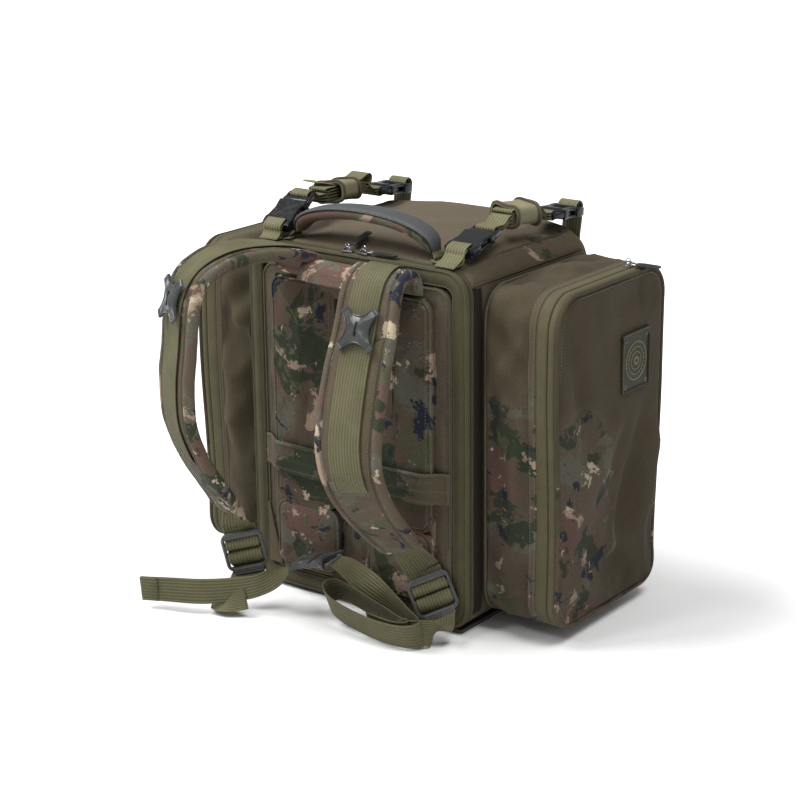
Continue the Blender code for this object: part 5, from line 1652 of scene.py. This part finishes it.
def rolled(side, sign, x, y0, y1):
    """The folded surplus between the two buckles, and the sleeve that keeps it."""
    pitch = 0.0034
    length = y1 - y0
    middle = (y0 + y1) / 2
    line = []
    levels = 5
    for k in range(levels):
        z = ROLL_Z - 0.0068 + k * pitch
        reach0 = y0 + 0.004 + 0.0020 * (k % 2)
        reach1 = y1 - 0.004 - 0.0014 * ((k + 1) % 3)
        layer = [(reach0, z), (middle - length * 0.22, z + 0.0002), (middle, z), (middle + length * 0.22, z),
                 (reach1, z)]
        line += layer[::-1] if k % 2 else layer
        if k < levels - 1:
            turn_y = (y1 - 0.0012) if k % 2 == 0 else (y0 + 0.0012)
            line.append((turn_y, z + pitch / 2))
    top_webbing(f"{side}_folded_webbing", [(x, y, z) for y, z in line], "bag", 0.0018, 0.0034,
                replaces=[f"{side}_strap_roll"], slot="webbing")
    sag = route([(x, y0 + 0.001, ROLL_Z - 0.0086, 0), (x, y0 + 0.012, ROLL_Z - 0.0094, 0),
                 (x, y1 - 0.012, ROLL_Z - 0.0094, 0), (x, y1 - 0.001, ROLL_Z - 0.0086, 0)], 0.004)[:, :3]
    top_webbing(f"{side}_running_webbing", sag[::4], "bag", 0.0018, 0.0040)
    outline, normals = rounded(-0.0180, 0.0180, -0.0116, 0.0102, 0.0078, 0.0030, 6)
    half = 0.0195
    yaw = Matrix.Rotation(math.radians(KEEPER_TURN[side]), 3, "Z")
    turn = np.array(yaw @ Matrix.Rotation(math.radians(7 * sign), 3, "Y"))
    hub = np.array([x, middle, ROLL_Z])

    def ring_at(t, out):
        """The sleeve's ring at t, from -1 to 1 along it, pushed out; it droops and its mouths sag."""
        xz = outline + normals * out
        ring = at_y(xz, half * t)
        ring[:, 2] -= 0.0016 * t * t * (xz[:, 1] > 0) + 0.0012 * t
        ring[:, 1] += 0.0022 * np.sin(xz[:, 0] / 0.018 * 2.2 + t) * t * t
        ring = hub + ring @ turn.T
        return ring + 0.0009 * ripple(ring, 75, 71 + sign)[:, None] * np.array([1, 0, 1])

    steps = ((-1, -0.0012), (-1, 0.0002), (-0.985, 0.0010), (-0.93, 0.0013), (-0.86, 0.0010), (-0.83, 0.0),
             (-0.6, -0.0003), (-0.3, -0.0008), (0, -0.0010), (0.3, -0.0008), (0.6, -0.0003), (0.83, 0.0),
             (0.86, 0.0010), (0.93, 0.0013), (0.985, 0.0010), (1, 0.0002), (1, -0.0012))
    keeper = skin(f"{side}_keeper_cloth", [ring_at(t, out) for t, out in steps], "keeper", "bag", caps=(),
                  replaces=[f"{side}_keeper_sleeve"], slot="plain_cloth")
    thicken(keeper, 0.0018)
    for end, label in ((-1, "near"), (1, "far")):
        hem = ((0.99, 0.0004), (1.01, 0.0020), (0.98, 0.0030), (0.86, 0.0028), (0.80, 0.0020), (0.80, 0.0004))
        rings = [ring_at(t * end, out) for t, out in hem]
        paint(skin(f"{side}_keeper_edge_{label}", rings, "cloth", "bag", loop=True), 0.0)
    thread = Heap(f"{side}_keeper_thread", "thread", "bag")
    out3 = np.stack([normals[:, 0], 0 * normals[:, 0], normals[:, 1]], axis=1)
    for t in (-0.76, 0.76):
        thread.stitches(ring_at(t, 0.0004), out3 @ turn.T, pitch=0.0030, length=0.0020, closed=True)
    thread.done()


def surplus(x, y0, y1):
    """The left strap's spare end: a pointed tail at one side of its keeper and a loop at the other."""
    controls = [(x, y0 + 0.030, ROLL_Z + 0.0064, 1.0, 0.0, 0.1, TOP_WEB),
                (x - 0.003, y0 + 0.020, ROLL_Z + 0.0080, 0.95, -0.15, 0.1, TOP_WEB),
                (x - 0.013, y0 + 0.0125, ROLL_Z + 0.0110, 0.6, -0.75, 0.1, 0.018),
                (x - 0.024, y0 + 0.0090, ROLL_Z + 0.0120, 0.5, -0.85, 0.1, 0.007)]
    webbing("left_surplus_tail", controls, "bag", TOP_WEB, 0.0018, step=0.0026, ribs=TOP_RIBS, mat="keeper")
    loop = [(y1 - 0.020, 0.0060), (y1 - 0.008, 0.0080), (y1 + 0.004, 0.0118), (y1 + 0.0095, 0.0090),
            (y1 + 0.0085, 0.0020), (y1 + 0.002, -0.0030), (y1 - 0.008, -0.0040)]
    top_webbing("left_surplus_loop", [(x, y, ROLL_Z + up) for y, up in loop], "bag", 0.0018, 0.0026)


HANDLE_Y, HANDLE_BASE, HANDLE_SPAN, HANDLE_RISE = -0.094, 0.411, 0.180, 0.0315


def carry_handle():
    """A padded arch: soft-touch top, printed cloth under it, and a bound edge between them."""
    controls = []
    for k in range(13):
        angle = math.pi * k / 12
        rise = HANDLE_RISE * math.sin(angle) ** 0.8 if 0 < k < 12 else 0.0
        width = (0.0150, 0.0220, 0.0270, 0.0285)[min(k, 12 - k, 3)]
        controls.append((-HANDLE_SPAN / 2 * math.cos(angle), HANDLE_Y, HANDLE_BASE + rise, width))
    rows = route(controls, 0.0045)
    points, half = rows[:, :3], rows[:, 3] / 2
    sides = np.array([0.0, 1.0, 0.0])
    side, normal, _ = frames(points, sides)
    if normal[len(normal) // 2, 2] < 0:
        normal = -normal
    grip_profile = [(-0.97, 0.0012), (-0.90, 0.0032), (-0.70, 0.0043), (-0.35, 0.0049), (0.0, 0.0050),
                    (0.35, 0.0049), (0.70, 0.0043), (0.90, 0.0032), (0.97, 0.0012), (0.90, -0.0006),
                    (0.0, -0.0008), (-0.90, -0.0006)]
    under_profile = [(-0.93, 0.0010), (-1.02, -0.0014), (-1.03, -0.0046), (-0.92, -0.0076), (-0.62, -0.0096),
                     (0.0, -0.0102), (0.62, -0.0096), (0.92, -0.0076), (1.03, -0.0046), (1.02, -0.0014),
                     (0.93, 0.0010), (0.0, 0.0014)]

    run = arc_length(points)
    taper = np.minimum(ease(-0.008, 0.010, run), ease(-0.008, 0.010, run[-1] - run))

    def build(profile):
        shape = np.array(profile)
        return np.array([p + side[i] * (shape[:, :1] * half[i]) + normal[i] * (shape[:, 1:] * taper[i])
                         for i, p in enumerate(points)])

    grip = build(grip_profile)
    skin("carry_handle_grip", grip, "grip", "carry_handle", replaces=["carry_handle"], slot="soft_grip")
    under = build(under_profile)
    under += 0.0004 * ripple(under, 90, 81)[..., None] * normal[:, None]
    made = skin("carry_handle_cloth", under, "cloth", "carry_handle")
    paint(made, 1.0)
    for sign in (-1, 1):
        line = points + side * (sign * half * 0.965)[:, None] + normal * 0.0010
        tube(f"carry_handle_edge_{'far' if sign > 0 else 'near'}", line, 0.0010, "black_plastic",
             "carry_handle")
    thread = Heap("carry_handle_thread", "thread", "carry_handle")
    for sign in (-1, 1):
        line = points + side * (sign * half * 0.86)[:, None] + normal * 0.0036
        thread.stitches(line[3:-3], normal[3:-3])
    thread.done()
    for side_name, sign in SIDES.items():
        tab = [(sign * 0.0965, HANDLE_Y, 0.4046, 0.0, 1.0, 0.0, 0.022),
               (sign * 0.0955, HANDLE_Y, 0.4070, 0.0, 1.0, 0.0, 0.020),
               (sign * 0.0925, HANDLE_Y, 0.4095, 0.0, 1.0, 0.0, 0.015),
               (sign * 0.0890, HANDLE_Y, 0.4130, 0.0, 1.0, 0.0, 0.0135)]
        made = webbing(f"carry_handle_{side_name}_tab", tab, None, 0.020, 0.0026, step=0.0025, ribs=4)
        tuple(tab[0][:3])
        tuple(tab[3][:3])
        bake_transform(made)
        anchor = [(sign * 0.1040, HANDLE_Y, 0.4028 - 0.0020, 0.0, 1.0, 0.0, 0.026),
                  (sign * 0.0985, HANDLE_Y, 0.4046 - 0.0020, 0.0, 1.0, 0.0, 0.026),
                  (sign * 0.0930, HANDLE_Y, 0.4056 - 0.0020, 0.0, 1.0, 0.0, 0.026)]
        webbing(f"carry_handle_{side_name}_anchor", anchor, "bag", 0.026, 0.0022, step=0.0028, ribs=TOP_RIBS,
                mat="top_webbing")


def slider_body(name, matrix, body, replaces, half_w, half_len, height):
    """A zip slider: a waisted plate with a raised bridge."""
    heap = Heap(name, "metal", body)
    edge = [(-half_len, half_w * 0.55), (-half_len * 0.5, half_w * 0.70), (half_len * 0.1, half_w * 0.85),
            (half_len * 0.75, half_w), (half_len, half_w * 0.7)]
    outline = [*((x, -y) for x, y in edge), *edge[::-1]]
    heap.plate(outline, [], height * 0.36, matrix @ Matrix.Translation((0, 0, height * 0.19)), bevel=0.0005)
    arch = ((-0.62, 0.34), (-0.45, 0.80), (0, 0.94), (0.45, 0.80), (0.62, 0.34))
    bridge = [(half_len * a, 0, height * b) for a, b in arch]
    turned = matrix.to_3x3()
    heap.rows(sweep_rows(route(placed(matrix, bridge), 0.0008), np.array(turned @ Vector((0, 1, 0))),
                         SMALL_SECTION, wide=half_w * 0.42, thick=0.0007))
    heap.torus(matrix @ Vector((half_len * 0.15, 0, height * 0.95)), turned @ Vector((0.25, 1.0, 0.15)),
               0.0034, 0.0006, 20)
    heap.done(sharp=35, replaces=replaces, slot="zip_metal")


def pull_tab(name, matrix, body, replaces, reach, half_w, thick):
    """A textured pull: a stirrup ring at its root, a flat tab with ribs, and a rounded tip."""
    wire = Heap(name + "_ring", "metal", body)
    ring = [(0.0010, -0.62), (-0.0014, -0.60), (-0.0028, -0.30), (-0.0030, 0), (-0.0028, 0.30),
            (-0.0014, 0.60), (0.0010, 0.62), (0.0060, 0.55), (0.0060, -0.55), (0.0010, -0.62)]
    wire.tube(route(placed(matrix, [(x, half_w * y, 0) for x, y in ring]), 0.0010), 0.0007, 8)
    wire.done()
    heap = Heap(name + "_tab", "pull_plastic", body)
    outline, _ = rounded(0.0030, reach, -half_w * 0.96, half_w * 0.96, half_w * 0.45, 0.006, 5)
    outline[:, 1] *= np.interp(outline[:, 0], [0.003, 0.009, reach], [0.80, 1.0, 0.92])
    heap.plate(outline, [], thick, matrix, bevel=0.0006)
    for x in np.arange(0.0095, reach - 0.0045, 0.0021):
        for z in (thick / 2, -thick / 2):
            heap.block((x - 0.0005, -half_w * 0.70, z - 0.0004), (x + 0.0005, half_w * 0.70, z + 0.0004),
                       matrix, 0)
    heap.done(replaces=replaces, slot="grey_plastic")


def zip_hardware():
    for side, sign in SIDES.items():
        low, high, centre = solid_box(f"{side}_pocket_slider")
        matrix = axes((centre[0], centre[1], low[2]), (0, -1, 0), (1, 0, 0))
        if (matrix.to_3x3() @ Vector((0, 0, 1))).z < 0:
            matrix = axes((centre[0], centre[1], low[2]), (0, -1, 0), (-1, 0, 0))
        slider_body(f"{side}_pocket_slider_body", matrix, f"{side}_pocket_slider", [f"{side}_pocket_slider"],
                    (high[0] - low[0]) / 2, (high[1] - low[1]) / 2, high[2] - low[2])
        low, high, centre = solid_box(f"{side}_pocket_pull")
        root = low[0] if sign > 0 else high[0]
        matrix = axes((root, centre[1], centre[2]), (sign, 0, 0), (0, sign, 0))
        pull_tab(f"{side}_pocket_pull", matrix, f"{side}_pocket_pull", [f"{side}_pocket_pull"],
                 high[0] - low[0], (high[1] - low[1]) / 2, 0.0022)
        low, high, centre = solid_box(f"main_slider_{side}")
        matrix = axes((centre[0], centre[1], low[2]), (sign, 0, 0), (0, sign, 0))
        slider_body(f"main_slider_{side}_body", matrix, f"main_slider_{side}", [f"main_slider_{side}"],
                    (high[1] - low[1]) / 2, (high[0] - low[0]) / 2, high[2] - low[2])
    low, high, centre = solid_box("main_pull_right")
    matrix = axes((low[0], centre[1], centre[2]), (1, 0, 0), (0, 1, 0))
    pull_tab("main_pull_right", matrix, "main_pull_right", ["main_pull_right"], high[0] - low[0],
             (high[1] - low[1]) / 2, 0.0020)
    low, high, centre = solid_box("main_pull_left")
    slope = math.radians(16)
    matrix = axes((centre[0], low[1] + 0.0004, low[2] + 0.0011), (0, math.cos(slope), math.sin(slope)),
                  (-1, 0, 0))
    pull_tab("main_pull_left", matrix, "main_pull_left", ["main_pull_left"], 0.0335,
             (high[0] - low[0]) / 2, 0.0020)


def badge():
    """A moulded rubber patch with a raised border and plain rings."""
    low, high, centre = solid_box("side_badge")
    half_y, half_z = (high[1] - low[1]) / 2, (high[2] - low[2]) / 2
    matrix = axes((low[0], centre[1], centre[2]), (0, 1, 0), (0, 0, 1))
    heap = Heap("side_badge_patch", "badge", "right_pocket_door")
    outline, normals = rounded(-half_y, half_y, -half_z, half_z, 0.0030, 0.006, 4)
    heap.plate(outline, [], 0.0020, matrix @ Matrix.Translation((0, 0, 0.0010)), bevel=0.0006)
    inner = outline - normals * 0.0036
    heap.plate(outline - normals * 0.0004, [inner], 0.0012, matrix @ Matrix.Translation((0, 0, 0.0024)),
               bevel=0.0004)
    heap.done(replaces=["side_badge"], slot="badge_rubber")
    heap = Heap("side_badge_rings", "badge_lines", "right_pocket_door")
    axis = matrix.to_3x3() @ Vector((0, 0, 1))
    middle = matrix @ Vector((0, 0, 0.0021))
    for radius, thick in ((0.0205, 0.0009), (0.0150, 0.0007), (0.0096, 0.0007), (0.0036, 0.0016)):
        heap.torus(middle, axis, radius, thick, 40)
    for k in range(24):
        angle = math.radians(15 * k)
        a = Vector((math.cos(angle), math.sin(angle), 0))
        heap.tube([matrix @ (a * reach + Vector((0, 0, 0.0021))) for reach in (0.0166, 0.0192)], 0.0005, 5)
    for y in (-1, 1):
        for z in (-1, 1):
            corner = matrix @ Vector((y * (half_y - 0.0075), z * (half_z - 0.0075), 0.0021))
            heap.torus(corner, axis, 0.0020, 0.0007, 14)
    heap.done(slot="badge_rubber")
    thread = Heap("side_badge_thread", "thread", "right_pocket_door")
    ring = outline - normals * 0.0018
    line = np.array([matrix @ Vector((y, z, 0.0030)) for y, z in ring])
    thread.stitches(line, np.array(axis), pitch=0.0026, length=0.0017, closed=True)
    thread.done()
    for piece in ("patch", "rings", "thread"):
        slump(f"side_badge_{piece}")


def carried_over():
    """Materials for the CAD nodes that keep their shape."""
    for node, mat in (("base_panel", "rubber"), ("base_board", "board"), ("inner_divider", "lining")):
        materials = frame["nodes"][node].data.materials
        materials.clear()
        materials.append(MATS[mat])


# ---------------------------------------------------------------- stage


def stage():
    mesh = bpy.data.meshes.new("floor")
    size = 30.0
    corners = [(-size, -size, 0), (size, -size, 0), (size, size, 0), (-size, size, 0)]
    mesh.from_pydata(corners, [], [(0, 1, 2, 3)])
    floor = bpy.data.objects.new("floor", mesh)
    bpy.context.scene.collection.objects.link(floor)
    g = Graph("floor", 0.9, Specular_IOR_Level=0.1)
    g.shader.inputs["Base Color"].default_value = (0.80, 0.80, 0.80, 1.0)
    mesh.materials.append(g.mat)
    scene = bpy.context.scene
    world = bpy.data.worlds.new("studio")
    world.use_nodes = True
    world.node_tree.nodes["Background"].inputs[0].default_value = (1.0, 1.0, 1.0, 1.0)
    world.node_tree.nodes["Background"].inputs[1].default_value = 0.43
    scene.world = world
    scene.view_settings.view_transform = "Standard"
    scene.view_settings.look = "None"
    lamps = (("key", (-0.60, -0.34, 1.0), 30, 3.7), ("fill", (0.40, -0.10, 1.0), 24, 1.7),
             ("glint", (-0.30, -0.75, 0.80), 12, 0.6))
    for name, towards, angle, strength in lamps:
        lamp = bpy.data.lights.new(name, "SUN")
        lamp.angle = math.radians(angle)
        lamp.energy = strength
        obj = bpy.data.objects.new(name, lamp)
        obj.rotation_euler = Vector(towards).to_track_quat("Z", "Y").to_euler()
        scene.collection.objects.link(obj)


def camera():
    """Looks at a point from an azimuth, counted from -Y towards +X, with a small roll."""
    target, distance, lens = Vector((0.0587, -0.1154, 0.2504)), 2.1605, 92.29
    azimuth, elevation, roll = (math.radians(a) for a in (37.05, 17.34, -0.64))
    back = Vector((math.sin(azimuth) * math.cos(elevation), -math.cos(azimuth) * math.cos(elevation),
                   math.sin(elevation)))
    right = Vector((math.cos(azimuth), math.sin(azimuth), 0.0))
    up = back.cross(right)
    turned_right = right * math.cos(roll) + up * math.sin(roll)
    turned_up = up * math.cos(roll) - right * math.sin(roll)
    data = bpy.data.cameras.new("camera")
    data.lens = lens
    data.sensor_width = 36.0
    obj = bpy.data.objects.new("camera", data)
    rotation = Matrix((turned_right, turned_up, back)).transposed()
    obj.matrix_world = Matrix.Translation(target + back * distance) @ rotation.to_4x4()
    bpy.context.scene.collection.objects.link(obj)
    bpy.context.scene.camera = obj


camera()
stage()
make_materials()
main_bag()
zip_frame()
for side, sign in SIDES.items():
    pocket(side, sign)
harness_panel()
cross_pads()
cross_band()
for side, sign in SIDES.items():
    strap(side, sign)
yoke()
gusset_tabs()
waist_belt()
for side, sign in SIDES.items():
    top_strap(side, sign)
carry_handle()
zip_hardware()
badge()
carried_over()
run_cloth()
